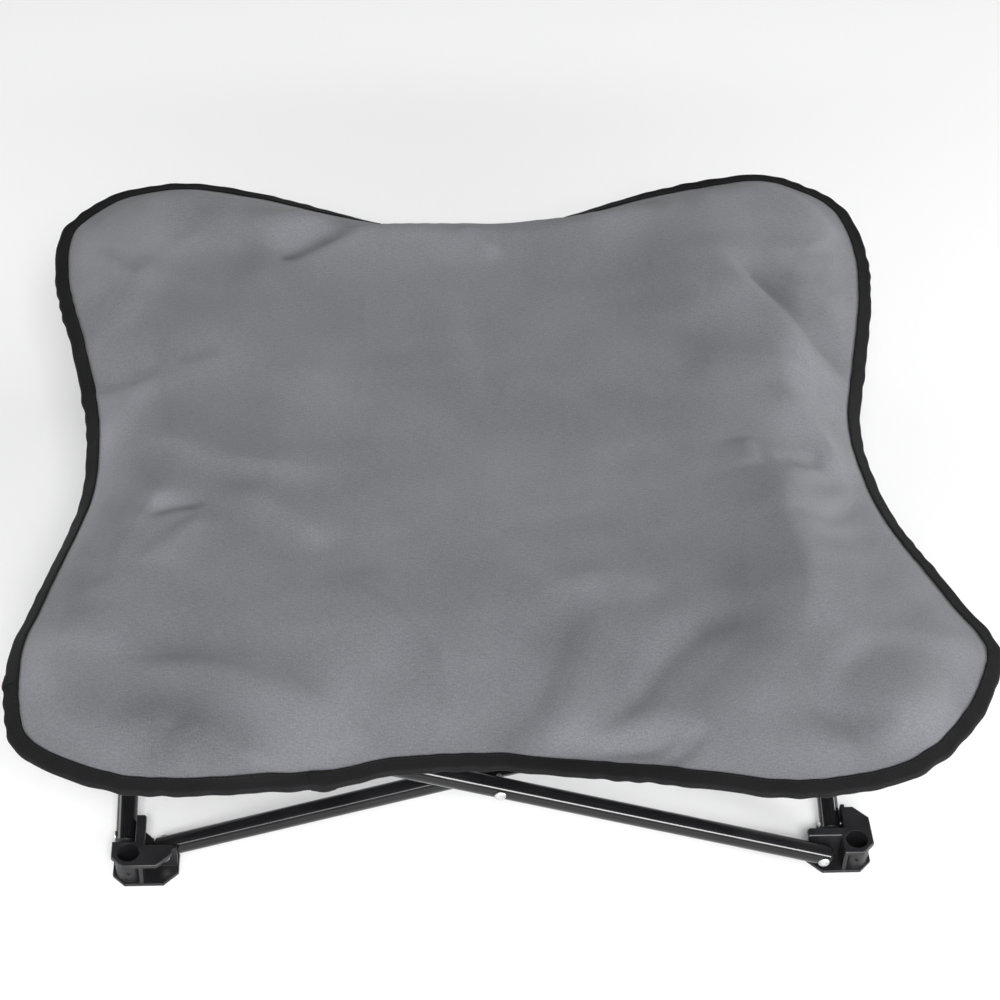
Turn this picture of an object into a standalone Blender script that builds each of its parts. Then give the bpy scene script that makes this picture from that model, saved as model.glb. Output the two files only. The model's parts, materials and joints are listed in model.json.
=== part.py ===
"""Folding dog bed: a padded panel carried at its four corners by a square scissor frame.

Each side of the frame is a pair of crossed tubes. Every tube is riveted to one hub at the floor
and to one hub under the panel, so the whole frame folds together like a quad-fold camp stool.
Units are metres, +Z is up, the floor is z = 0 and the front faces -Y.
"""

import math

import bmesh
import bpy
from mathutils import Matrix, Vector

# Fits
GAP = 0.0003                        # between two pieces that touch
SWING_CLEARANCE = 0.0004            # between a turning tube end and a hub's plates

# Frame: driving dimensions
TUBE_D = 0.019
TUBE_WALL = 0.0012
TUBE_PAST_RIVET = 0.005             # straight tube beyond the end rivets
PIVOT_SPAN = 0.640                  # between a tube's two end rivets
OPEN_ANGLE = math.radians(18.8)     # of a tube above the floor with the bed open

# Hub moulding
WEB = 0.0036                        # thickness of its upright walls
PLATE = 0.004                       # thickness of its top and bottom plates
RIM = 0.0155                        # from the post's axis to the two outer sides
ARM_PAST_RIVET = 0.013              # from a rivet to the end of its arm
POST_TO_RIVET = 0.031
OUTER_BAR_OFFSET = 0.00475          # of the outer tube, outwards from the post's axis
TOP_LIP = 0.0055                    # of the top plate, inside the outer tube's web
TOP_SETBACK = 0.005                 # of the top plate's end, on the inner tube's arm
PLATE_BEVEL = 0.0008
BOSS_WALL = 0.0025
SCREW_HOLE_R = 0.0017

# Rivets
RIVET_R = 0.0025
RIVET_HEAD_R = 0.0053
RIVET_HEAD_H = 0.0022
RIVET_TAIL_R = 0.0042
RIVET_TAIL_H = 0.0018

# Corner posts, which hold the panel's pockets on the upper hubs
POST_R = 0.010
POST_WALL = 0.002
POST_FLANGE_R = 0.016
POST_FLANGE_H = 0.003

# Panel
PAD_THICKNESS = 0.010
PAD_EDGE = 0.005                    # thickness inside the binding
LOBE_OVERHANG = 0.098               # of a corner lobe, past the post's axis, along X and along Y
SIDE_OVERHANG = 0.041               # of the middle of a side
LOBE_R = 0.121
SIDE_SAG = 0.016                    # of the panel between the posts
DROOP_BAND = 0.075                  # width of the edge band that bends down
LOBE_DROOP = 0.028
SIDE_DROOP = 0.044
POCKET_R = 0.034
POCKET_LIP = 0.0015
BINDING_WIDTH = 0.014
BINDING_WALL = 0.0012
BINDING_EASE = 0.0006               # between the tape and the panel's faces, whose quads twist a little

# Facets
TUBE_SEGMENTS = 16
ROUND_SEGMENTS = 12
HOLE_SEGMENTS = 8
DOME_STEPS = 2
SIDE_STEPS = 4                      # of the panel's outline, from mid side to a lobe
LOBE_STEPS = 6
PAD_RINGS = (0.3, 0.56, 0.76, 0.88)

# Worked out from the above
TUBE_R = TUBE_D / 2
BORE_R = POST_R + GAP
BOSS_R = BORE_R + BOSS_WALL
BAR_PITCH = TUBE_D + WEB + 2 * GAP
WEB_OUT = TUBE_R + GAP - OUTER_BAR_OFFSET
WEB_IN = WEB_OUT + WEB
INNER_BAR = BAR_PITCH - OUTER_BAR_OFFSET
END_R = math.hypot(TUBE_PAST_RIVET, TUBE_R)
HUB_HEIGHT = 2 * (PLATE + SWING_CLEARANCE + END_R)
RIVET_Z = HUB_HEIGHT / 2
ARM = POST_TO_RIVET + ARM_PAST_RIVET
HALF_RUN = PIVOT_SPAN / 2 * math.cos(OPEN_ANGLE)
RISE = PIVOT_SPAN * math.sin(OPEN_ANGLE)
POST_XY = HALF_RUN + POST_TO_RIVET
OUTER_Y = POST_XY + OUTER_BAR_OFFSET
INNER_Y = OUTER_Y - BAR_PITCH
HUB_TOP = RISE + HUB_HEIGHT
FLANGE_Z = HUB_TOP + POCKET_LIP + 2 * GAP
PAD_UNDER = FLANGE_Z + POST_FLANGE_H / 2
PAD_MID = PAD_UNDER + PAD_THICKNESS / 2
LOBE_XY = POST_XY + LOBE_OVERHANG
SIDE_XY = POST_XY + SIDE_OVERHANG

CORNERS = ("front_right", "back_right", "back_left", "front_left")
SIDES = ("front", "right", "back", "left")


def clear_scene():
    for obj in list(bpy.data.objects):
        bpy.data.objects.remove(obj)


def make_material(name, colour, roughness, metallic):
    material = bpy.data.materials.new(name)
    material.use_nodes = True
    shader = material.node_tree.nodes["Principled BSDF"]
    shader.inputs["Base Color"].default_value = (*colour, 1)
    shader.inputs["Roughness"].default_value = roughness
    shader.inputs["Metallic"].default_value = metallic
    material.diffuse_color = (*colour, 1)
    return material


def add_object(name, mesh, material=None, turn=Matrix(), place=(0, 0, 0)):
    """Puts a mesh in the scene, turned about its own origin and then placed."""
    obj = bpy.data.objects.new(name, mesh)
    obj.matrix_world = Matrix.Translation(place) @ turn
    if material and not mesh.materials:
        mesh.materials.append(material)
    bpy.context.scene.collection.objects.link(obj)
    return obj


def mesh_from(bm, name):
    """Closes a bmesh into a mesh with outward faces."""
    bmesh.ops.remove_doubles(bm, verts=bm.verts, dist=1e-6)
    bmesh.ops.recalc_face_normals(bm, faces=bm.faces)
    mesh = bpy.data.meshes.new(name)
    bm.to_mesh(mesh)
    bm.free()
    return mesh


def shade(mesh, angle=35):
    """Smooth shading that keeps edges sharper than the angle."""
    mesh.polygons.foreach_set("use_smooth", [True] * len(mesh.polygons))
    mesh.set_sharp_from_angle(angle=math.radians(angle))
    return mesh


def revolve(name, profile, segments, closed=False):
    """Spins a profile of (x, radius) points about the X axis; a closed profile makes a ring."""
    bm = bmesh.new()
    verts = [bm.verts.new((x, 0, r)) for x, r in profile]
    pairs = list(zip(verts, verts[1:]))
    if closed:
        pairs.append((verts[-1], verts[0]))
    edges = [bm.edges.new(pair) for pair in pairs]
    bmesh.ops.spin(
        bm, geom=verts + edges, cent=(0, 0, 0), axis=(1, 0, 0), angle=2 * math.pi,
        steps=segments, use_merge=True,
    )
    return mesh_from(bm, name)


def rod(name, radius, x0, x1, segments):
    """A solid cylinder along X, used as a cutter and as a boss."""
    return revolve(name, [(x0, 0), (x0, radius), (x1, radius), (x1, 0)], segments)


def plate(name, outline, z0, z1, bevel_z=None):
    """Extrudes a plan outline from z0 to z1 and chamfers its edges at the height bevel_z."""
    bm = bmesh.new()
    face = bm.faces.new([bm.verts.new((x, y, z0)) for x, y in outline])
    made = bmesh.ops.extrude_face_region(bm, geom=[face])["geom"]
    top = [v for v in made if isinstance(v, bmesh.types.BMVert)]
    bmesh.ops.translate(bm, verts=top, vec=(0, 0, z1 - z0))
    if bevel_z is not None:
        edges = [e for e in bm.edges if all(abs(v.co.z - bevel_z) < 1e-6 for v in e.verts)]
        bmesh.ops.bevel(bm, geom=edges, offset=PLATE_BEVEL, segments=1, affect="EDGES")
    return mesh_from(bm, name)


def chamfered(corners):
    """Plan outline from (a, b, cut) corners, each cut off at 45 degrees.

    a and b run along the hub's two arms. The a arm points along -X, so X is -a and Y is b.
    """
    outline = []
    for i, (a, b, cut) in enumerate(corners):
        if not cut:
            outline.append(Vector((a, b)))
            continue
        here = Vector((a, b))
        for other in (corners[i - 1], corners[(i + 1) % len(corners)]):
            outline.append(here + (Vector(other[:2]) - here).normalized() * cut)
    return [(-p.x, p.y) for p in outline]


def block(name, a0, a1, b0, b1, z0, z1):
    """A wall of the hub, given along its arms."""
    return plate(name, [(-a0, b0), (-a1, b0), (-a1, b1), (-a0, b1)], z0, z1)


def turned(mesh, axis, degrees, place=(0, 0, 0)):
    mesh.transform(Matrix.Translation(place) @ Matrix.Rotation(math.radians(degrees), 4, axis))
    return mesh


def boolean(obj, mesh, operation):
    """Adds or cuts away a solid with an exact Boolean."""
    tool = add_object(f"{obj.name}_{mesh.name}", mesh)
    tool.display_type = "WIRE"
    tool.hide_render = True
    modifier = obj.modifiers.new(mesh.name, "BOOLEAN")
    modifier.operation = operation
    modifier.solver = "EXACT"
    modifier.object = tool
    return tool


def settle(obj, tools, name):
    """The object's finished mesh, for its copies to share; the object and its tools go."""
    graph = bpy.context.evaluated_depsgraph_get()
    mesh = bpy.data.meshes.new_from_object(obj.evaluated_get(graph), depsgraph=graph)
    mesh.name = name
    for used in [*tools, obj]:
        bpy.data.objects.remove(used)
    return shade(mesh)


def hub_mesh():
    """The hub moulding as it stands on the floor, with the post's axis through its origin.

    The outer tube lies outside the a arm's web and the inner tube inside the b arm's web. The
    bottom plate runs under both tubes, and the top plate is cut back over them so that they can
    swing upright.
    """
    corner_cut = 0.7 * RIM
    end_cut = 0.85 * RIM
    small_cut = 0.35 * RIM
    lip_in = WEB_IN + TOP_LIP
    top_end = ARM - TOP_SETBACK
    strip_in = POST_TO_RIVET - END_R - 2 * SWING_CLEARANCE
    strip_cut = 0.7 * (strip_in - WEB_IN)
    bar_in = INNER_BAR + TUBE_R + GAP
    rib_out = BOSS_R + 0.0003
    rib_in = rib_out - WEB
    bottom = chamfered([
        (-RIM, -RIM, corner_cut), (ARM, -RIM, end_cut), (ARM, strip_in, strip_cut),
        (bar_in, strip_in, 0), (bar_in, ARM, small_cut), (-RIM, ARM, end_cut),
    ])
    top = chamfered([
        (-RIM, -RIM, corner_cut), (rib_out, -RIM, 0), (rib_out, WEB_OUT, 0), (ARM, WEB_OUT, 0),
        (ARM, lip_in, TOP_LIP / 3), (WEB_IN, lip_in, 0), (WEB_IN, top_end, 0), (-RIM, top_end, end_cut),
    ])
    low, high = PLATE / 2, HUB_HEIGHT - PLATE / 2
    wall_end = ARM - PLATE_BEVEL
    rib_end = -RIM + PLATE_BEVEL
    hub = add_object("hub_form", plate("bottom", bottom, 0, PLATE, 0))
    tools = [
        boolean(hub, mesh, "UNION")
        for mesh in (
            turned(rod("boss", BOSS_R, low, high, TUBE_SEGMENTS), "Y", -90),
            block("outer_web", 0, wall_end, WEB_OUT, WEB_IN, low, high),
            block("inner_web", WEB_OUT, WEB_IN, 0, wall_end, low, high),
            block("outer_rib", rib_in, rib_out, rib_end, WEB_OUT + WEB / 2, low, high),
            block("inner_rib", rib_end, WEB_OUT + WEB / 2, rib_in, rib_out, low, high),
            plate("top", top, HUB_HEIGHT - PLATE, HUB_HEIGHT, HUB_HEIGHT),
        )
    ]
    hole_r = RIVET_R + GAP
    span = (WEB_OUT - WEB, WEB_IN + WEB)
    screw_span = (-BOSS_R - WEB, -BORE_R / 2)
    tools += [
        boolean(hub, mesh, "DIFFERENCE")
        for mesh in (
            turned(rod("bore", BORE_R, -PLATE, HUB_HEIGHT + PLATE, TUBE_SEGMENTS), "Y", -90),
            turned(
                rod("outer_rivet_hole", hole_r, *span, HOLE_SEGMENTS), "Z", 90,
                (-POST_TO_RIVET, 0, RIVET_Z),
            ),
            turned(
                rod("inner_rivet_hole", hole_r, *span, HOLE_SEGMENTS), "Z", 180,
                (0, POST_TO_RIVET, RIVET_Z),
            ),
            turned(
                rod("front_screw_hole", SCREW_HOLE_R, *screw_span, HOLE_SEGMENTS), "Z", 90,
                (0, 0, RIVET_Z),
            ),
            turned(
                rod("side_screw_hole", SCREW_HOLE_R, *screw_span, HOLE_SEGMENTS), "Z", 180,
                (0, 0, RIVET_Z),
            ),
        )
    ]
    return settle(hub, tools, "hub")


def tube_mesh(name, origin):
    """A frame tube along X with its three rivet holes along Y; origin is a share of the span."""
    start = -origin * PIVOT_SPAN
    ends = (start - TUBE_PAST_RIVET, start + PIVOT_SPAN + TUBE_PAST_RIVET)
    inside = TUBE_R - TUBE_WALL
    wall = revolve(
        name + "_wall",
        [(ends[0], inside), (ends[0], TUBE_R), (ends[1], TUBE_R), (ends[1], inside)],
        TUBE_SEGMENTS, closed=True,
    )
    tube = add_object(name + "_form", wall)
    tools = [
        boolean(
            tube,
            turned(
                rod(f"hole_{i}", RIVET_R + GAP, -TUBE_D, TUBE_D, HOLE_SEGMENTS), "Z", 90,
                (start + i / 2 * PIVOT_SPAN, 0, 0),
            ),
            "DIFFERENCE",
        )
        for i in range(3)
    ]
    return settle(tube, tools, name)


def plug_mesh():
    """The domed plug at a tube's end, along +X, with its origin on the rivet's axis."""
    core = TUBE_R - TUBE_WALL - GAP
    seat = TUBE_PAST_RIVET + GAP
    rim_angle = math.acos(seat / END_R)
    arc = [rim_angle * (1 - i / DOME_STEPS) for i in range(DOME_STEPS + 1)]
    dome = [(END_R * math.cos(t), END_R * math.sin(t)) for t in arc]
    tail = -2 * RIVET_R
    profile = [(tail, 0), (tail, core), (seat, core), *dome[:-1], (END_R, 0)]
    plug = add_object("plug_form", revolve("plug_solid", profile, ROUND_SEGMENTS))
    hole = turned(rod("plug_hole", RIVET_R + GAP, -TUBE_D, TUBE_D, HOLE_SEGMENTS), "Z", 90)
    return settle(plug, [boolean(plug, hole, "DIFFERENCE")], "end_plug")


def rivet_profile(grip):
    """Head at x = 0 facing -X, shank along +X through the grip, and the formed tail."""
    crown = (-0.8 * RIVET_HEAD_H, 0.6 * RIVET_HEAD_R)
    head = [(-RIVET_HEAD_H, 0), crown, (0, RIVET_HEAD_R), (0, RIVET_R)]
    flat = (grip + RIVET_TAIL_H, 0.6 * RIVET_TAIL_R)
    tail = [(grip, RIVET_R), (grip, RIVET_TAIL_R), flat, (grip + RIVET_TAIL_H, 0)]
    return head, tail


def hub_rivet_mesh():
    """The rivet through one tube and one web; its head's underside is at the origin."""
    head, tail = rivet_profile(TUBE_D + WEB + 3 * GAP)
    return shade(revolve("hub_rivet", head + tail, ROUND_SEGMENTS))


def centre_pin_mesh():
    """The shouldered rivet where two tubes cross; its collar keeps them apart."""
    head, tail = rivet_profile(BAR_PITCH + TUBE_D + 2 * GAP)
    near = TUBE_D + 2 * GAP
    far = near + BAR_PITCH - TUBE_D - 2 * GAP
    collar_r = 2 * RIVET_R
    collar = [(near, RIVET_R), (near, collar_r), (far, collar_r), (far, RIVET_R)]
    return shade(revolve("centre_pin", head + collar + tail, ROUND_SEGMENTS))


def post_mesh():
    """The flanged post that stands in an upper hub's bore, hollow from below."""
    top = FLANGE_Z + POST_FLANGE_H
    foot = RISE + PLATE
    profile = [
        (foot, POST_R - POST_WALL), (foot, POST_R), (FLANGE_Z, POST_R), (FLANGE_Z, POST_FLANGE_R),
        (top, POST_FLANGE_R), (top, 0),
    ]
    roof = FLANGE_Z - POST_WALL
    solid = revolve("post", [(roof, 0), (roof, POST_R - POST_WALL), *profile], TUBE_SEGMENTS)
    return shade(turned(solid, "Y", -90))


def outline_points():
    """The panel's plan outline as a closed list of (point, outward normal).

    Each quarter runs from the middle of one side, out along a cosine curve to the lobe, round
    the lobe's arc and back in to the middle of the next side.
    """
    centre = LOBE_XY - LOBE_R
    dip = LOBE_XY - SIDE_XY
    half = []
    for i in range(SIDE_STEPS):
        s = i / SIDE_STEPS
        slope = dip * math.pi / 2 * math.sin(math.pi * s) / centre
        point = Vector((SIDE_XY + dip * (1 - math.cos(math.pi * s)) / 2, centre * s))
        half.append((point, Vector((1, -slope)).normalized()))
    quarter = list(half)
    for i in range(LOBE_STEPS + 1):
        t = math.pi / 2 * i / LOBE_STEPS
        normal = Vector((math.cos(t), math.sin(t)))
        quarter.append((Vector((centre, centre)) + LOBE_R * normal, normal))
    quarter += [(p.yx, n.yx) for p, n in reversed(half[1:])]
    loop = []
    for turn in range(4):
        spin = Matrix.Rotation(turn * math.pi / 2, 2)
        loop += [(spin @ p, spin @ n) for p, n in quarter]
    return loop


def smooth(t):
    t = min(max(t, 0), 1)
    return t * t * (3 - 2 * t)


def panel_height(point):
    """Height of the panel's mid surface before its edge bends down."""
    cornered = abs(point.x * point.y) / (0.7 * POST_XY**2)
    return PAD_MID - SIDE_SAG * (1 - smooth(cornered))


def droop_at(point):
    """How far the panel's edge hangs down, at a point of the outline."""
    cornered = (2 * point.x * point.y / point.length_squared) ** 2
    return SIDE_DROOP + (LOBE_DROOP - SIDE_DROOP) * cornered


def edge_frame(point, normal):
    """The panel's edge in space, the direction out along its slope, and its face's normal."""
    droop = droop_at(point)
    slope = 2 * droop / DROOP_BAND
    edge = Vector((*point, panel_height(point) - droop))
    out = Vector((*normal, -slope)).normalized()
    side = Vector((-normal.y, normal.x, 0))
    return edge, out, out.cross(side)


def panel_sections():
    """For each outline point, the panel's rings from the centre out, as (mid point, half thickness vector)."""
    sections = []
    for point, normal in outline_points():
        edge, out, up = edge_frame(point, normal)
        section = []
        for share in PAD_RINGS:
            at = point * share
            from_edge = (1 - share) * point.length
            bend = droop_at(point) * max(0, 1 - from_edge / DROOP_BAND) ** 2
            mid = Vector((*at, panel_height(at) - bend))
            section.append((mid, Vector((0, 0, PAD_THICKNESS / 2))))
        inner = edge - out * (BINDING_WIDTH + BINDING_WALL)
        section += [(inner, up * PAD_EDGE / 2), (edge, up * PAD_EDGE / 2)]
        sections.append(section)
    return sections


def pad_mesh():
    """The padded panel, with a pocket under each lobe that the post's flange sits in."""
    bm = bmesh.new()
    sections = panel_sections()
    loops = []
    for side in (1, -1):
        crown = bm.verts.new((0, 0, panel_height(Vector((0, 0))) + side * PAD_THICKNESS / 2))
        rings = [[bm.verts.new(mid + side * half) for mid, half in section] for section in sections]
        for here, there in zip(rings, rings[1:] + rings[:1]):
            bm.faces.new((crown, here[0], there[0]))
            for i in range(len(here) - 1):
                bm.faces.new((here[i], here[i + 1], there[i + 1], there[i]))
        loops.append([ring[-1] for ring in rings])
    upper, lower = loops
    for i in range(len(upper)):
        j = (i + 1) % len(upper)
        bm.faces.new((upper[i], upper[j], lower[j], lower[i]))
    bmesh.ops.triangulate(bm, faces=bm.faces)
    pad = add_object("pad_form", mesh_from(bm, "pad_solid"))
    tools = []
    base = HUB_TOP + GAP
    lip = base + POCKET_LIP
    roof = FLANGE_Z + POST_FLANGE_H + GAP
    post_r = POST_R + 2 * GAP
    flange_r = POST_FLANGE_R + GAP
    room = [
        (base - PLATE, 0), (base - PLATE, post_r), (lip, post_r), (lip, flange_r), (roof, flange_r),
        (roof, 0),
    ]
    for i, (x, y) in enumerate(((1, -1), (1, 1), (-1, 1), (-1, -1))):
        place = (x * POST_XY, y * POST_XY, 0)
        pocket = turned(rod(f"pocket_{i}", POCKET_R, base, PAD_MID, TUBE_SEGMENTS), "Y", -90, place)
        tools.append(boolean(pad, pocket, "UNION"))
        inside = turned(revolve(f"room_{i}", room, TUBE_SEGMENTS), "Y", -90, place)
        tools.append(boolean(pad, inside, "DIFFERENCE"))
    return settle(pad, tools, "pad")


def binding_mesh():
    """The tape folded round the panel's edge: a channel section carried round the outline."""
    half = PAD_EDGE / 2 + BINDING_EASE
    outer = half + BINDING_WALL
    section = [
        (-BINDING_WIDTH, outer), (GAP + BINDING_WALL, outer), (GAP + BINDING_WALL, -outer), (-BINDING_WIDTH, -outer),
        (-BINDING_WIDTH, -half), (GAP, -half), (GAP, half), (-BINDING_WIDTH, half),
    ]
    bm = bmesh.new()
    rings = []
    for point, normal in outline_points():
        edge, out, up = edge_frame(point, normal)
        rings.append([bm.verts.new(edge + out * u + up * w) for u, w in section])
    for here, there in zip(rings, rings[1:] + rings[:1]):
        for i in range(len(section)):
            j = (i + 1) % len(section)
            bm.faces.new((here[i], here[j], there[j], there[i]))
    return shade(mesh_from(bm, "binding"))


def build_hubs(plastic, steel):
    """Eight hubs: four stand on the floor, and four hang upside down under the panel."""
    hub = hub_mesh()
    rivet = hub_rivet_mesh()
    post = post_mesh()
    over = Matrix.Rotation(math.pi, 4, "Y")
    for i, corner in enumerate(CORNERS):
        spin = Matrix.Rotation(i * math.pi / 2, 4, "Z")
        foot = spin @ Vector((POST_XY, -POST_XY, 0))
        add_object(f"lower_hub_{corner}", hub, plastic, spin, foot)
        # Upside down, a hub's a arm points along +X, so the front left corner comes first.
        head = spin @ Vector((-POST_XY, -POST_XY, HUB_TOP))
        name = CORNERS[(i + 3) % 4]
        add_object(f"upper_hub_{name}", hub, plastic, spin @ over, head)
        add_object(f"corner_post_{corner}", post, plastic, spin, foot)
        build_hub_rivets(rivet, steel, corner, name, spin)


def build_hub_rivets(rivet, steel, lower, upper, spin):
    """The rivets of the front side's four tube ends, turned to one of the sides."""
    inwards = Matrix.Rotation(math.pi / 2, 4, "Z")
    run = HALF_RUN
    outer_y = -OUTER_Y - TUBE_R - GAP
    inner_y = -POST_XY + WEB_OUT - GAP
    low, high = RIVET_Z, RISE + RIVET_Z
    for name, x, y, z in (
        (f"rivet_lower_outer_{lower}", run, outer_y, low),
        (f"rivet_upper_outer_{upper}", -run, outer_y, high),
        (f"rivet_lower_inner_{upper}", -run, inner_y, low),
        (f"rivet_upper_inner_{lower}", run, inner_y, high),
    ):
        add_object(name, rivet, steel, spin @ inwards, spin @ Vector((x, y, z)))


def build_tubes(steel_black, steel, plastic):
    """The crossed pair of each side. Its origin is on the joint that carries it in the fold."""
    plug = plug_mesh()
    pin = centre_pin_mesh()
    by_end = tube_mesh("tube_from_end", 0)
    by_centre = tube_mesh("tube_from_centre", 0.5)
    middle = RIVET_Z + RISE / 2
    inwards = Matrix.Rotation(math.pi / 2, 4, "Z")
    for i, side in enumerate(SIDES):
        spin = Matrix.Rotation(i * math.pi / 2, 4, "Z")
        outer_carries = side in ("left", "back")
        for kind, way, y, from_end in (
            ("outer", -1, -OUTER_Y, outer_carries), ("inner", 1, -INNER_Y, not outer_carries),
        ):
            # The mesh runs from the low end along +X, so the outer tube is turned to face -X.
            rise = Matrix.Rotation(-OPEN_ANGLE, 4, "Y")
            turn = Matrix.Rotation(math.pi, 4, "Z") @ rise if way < 0 else rise
            low = Vector((-way * HALF_RUN, y, RIVET_Z))
            high = Vector((way * HALF_RUN, y, RIVET_Z + RISE))
            origin = low if from_end else Vector((0, y, middle))
            mesh = by_end if from_end else by_centre
            add_object(f"tube_{side}_{kind}", mesh, steel_black, spin @ turn, spin @ origin)
            back = turn @ Matrix.Rotation(math.pi, 4, "Z")
            add_object(f"plug_lower_{side}_{kind}", plug, plastic, spin @ back, spin @ low)
            add_object(f"plug_upper_{side}_{kind}", plug, plastic, spin @ turn, spin @ high)
        head = Vector((0, -OUTER_Y - TUBE_R - GAP, middle))
        add_object(f"centre_pin_{side}", pin, steel, spin @ inwards, spin @ head)


def build_panel(fabric, tape):
    add_object("pad", pad_mesh(), fabric)
    add_object("binding", binding_mesh(), tape)


def main():
    clear_scene()
    black_plastic = make_material("black_plastic", (0.017, 0.017, 0.019), 0.5, 0.0)
    black_steel = make_material("black_steel", (0.012, 0.012, 0.013), 0.22, 0.3)
    bare_steel = make_material("bare_steel", (0.55, 0.56, 0.56), 0.32, 1.0)
    grey_fabric = make_material("grey_fabric", (0.19, 0.195, 0.205), 0.9, 0.0)
    black_tape = make_material("black_tape", (0.02, 0.02, 0.021), 0.85, 0.0)
    build_hubs(black_plastic, bare_steel)
    build_tubes(black_steel, bare_steel, black_plastic)
    build_panel(grey_fabric, black_tape)


main()
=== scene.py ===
"""Folding dog bed: the padded panel, its tape and the finishes of the folding frame.

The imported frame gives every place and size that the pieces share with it. Units are metres, +Z is
up and the front faces -Y. Each operator makes one kind of piece, and the panel in the sidebar
lists them in the order in which they are made.
"""

import json
import math

import bmesh
import bpy
import numpy as np
from bpy.props import FloatProperty, FloatVectorProperty, PointerProperty
from mathutils import Matrix, Vector

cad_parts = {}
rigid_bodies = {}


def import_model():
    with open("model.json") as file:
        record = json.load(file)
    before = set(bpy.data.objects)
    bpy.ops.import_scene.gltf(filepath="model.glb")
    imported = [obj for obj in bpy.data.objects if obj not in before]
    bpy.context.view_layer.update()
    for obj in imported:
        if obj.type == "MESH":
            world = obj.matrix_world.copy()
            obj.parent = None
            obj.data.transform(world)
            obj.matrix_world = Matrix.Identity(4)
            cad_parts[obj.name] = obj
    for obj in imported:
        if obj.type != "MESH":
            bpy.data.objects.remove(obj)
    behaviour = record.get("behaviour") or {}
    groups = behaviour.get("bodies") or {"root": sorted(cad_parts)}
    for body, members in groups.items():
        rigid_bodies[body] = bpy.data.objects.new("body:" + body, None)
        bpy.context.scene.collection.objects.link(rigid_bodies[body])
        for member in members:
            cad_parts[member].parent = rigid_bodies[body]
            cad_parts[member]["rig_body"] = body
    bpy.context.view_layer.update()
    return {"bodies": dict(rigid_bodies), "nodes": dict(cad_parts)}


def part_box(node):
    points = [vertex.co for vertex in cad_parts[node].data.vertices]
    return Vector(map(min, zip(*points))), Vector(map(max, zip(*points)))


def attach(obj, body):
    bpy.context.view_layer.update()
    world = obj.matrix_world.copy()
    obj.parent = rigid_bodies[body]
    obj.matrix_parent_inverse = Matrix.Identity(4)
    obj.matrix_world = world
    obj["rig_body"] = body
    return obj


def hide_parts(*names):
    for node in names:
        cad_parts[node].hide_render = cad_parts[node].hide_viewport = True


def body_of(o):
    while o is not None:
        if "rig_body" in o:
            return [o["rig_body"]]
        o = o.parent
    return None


for leftover in list(bpy.data.objects):
    bpy.data.objects.remove(leftover)
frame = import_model()

bl_info = {
    "name": "Folding Dog Bed",
    "version": (1, 0, 0),
    "blender": (4, 5, 0),
    "location": "3D View > Sidebar > Dog Bed",
    "description": "Padded panel, bound edge and finishes of a folding dog bed",
    "category": "Object",
}

CORNERS = ("front_left", "front_right", "back_right", "back_left")
SIDES = ("front", "right", "back", "left")
PANEL_BODY = "upper_hub_front_left"
MM_PER_M = 1000.0

# Points round the panel's edge: as the pieces use it, and for the outer ring of the cover's grid.
EDGE_STEPS = 960
FINE_EDGE_STEPS = 1600

# Edges of cloth and rivets that turn by more than this are shaded sharp.
SHARP = math.radians(50)

post_low, post_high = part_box("corner_post_front_right")
POST_XY = (post_low.x + post_high.x) / 2
PANEL_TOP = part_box("pad")[1].z

# The panel's edge, walked round once from the middle of the left side: (x, y) in millimetres.
EDGE = (
    (-384, 51), (-392, 102), (-406, 166), (-429, 258), (-433, 340), (-412, 384), (-372, 421),
    (-303, 438), (-230, 424), (-161, 402), (-74, 387), (35, 385), (146, 408), (237, 439),
    (323, 454), (370, 433), (409, 391), (421, 320), (414, 237), (392, 134), (376, 57),
    (380, -28), (393, -112), (421, -204), (442, -256), (442, -288), (420, -337), (390, -377),
    (354, -408), (312, -424), (244, -431), (178, -418), (113, -399), (47, -381), (-12, -372),
    (-90, -383), (-156, -407), (-256, -418), (-322, -416), (-373, -397), (-402, -378),
    (-418, -352), (-425, -302), (-424, -253), (-415, -215), (-397, -130), (-383, -33),
)

# The panel's bent edge by direction, in degrees from the middle of the right side towards the back:
# how steeply it meets the edge, where 1 is a plain bend, 0 is level and below 0 turns up, and the
# width of the band that bends, as a share of the usual.
BEND = (
    (-180, 0.6, 1.0), (-162, 0.8, 0.8), (-148, 0.8, 0.8), (-135, 0.3, 1.2), (-115, 0.3, 1.9),
    (-90, 0.3, 2.4), (-70, 0.3, 2.2), (-45, 0.4, 1.7), (-30, 0.7, 2.2), (-10, 0.8, 1.9),
    (10, 0.8, 1.4), (30, 0.3, 1.1), (45, -0.2, 1.1), (60, -0.2, 1.0), (90, 1.0, 0.8),
    (120, 0.0, 1.0), (135, -0.2, 1.2), (150, 0.2, 1.1), (180, 0.6, 1.0),
)

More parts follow.
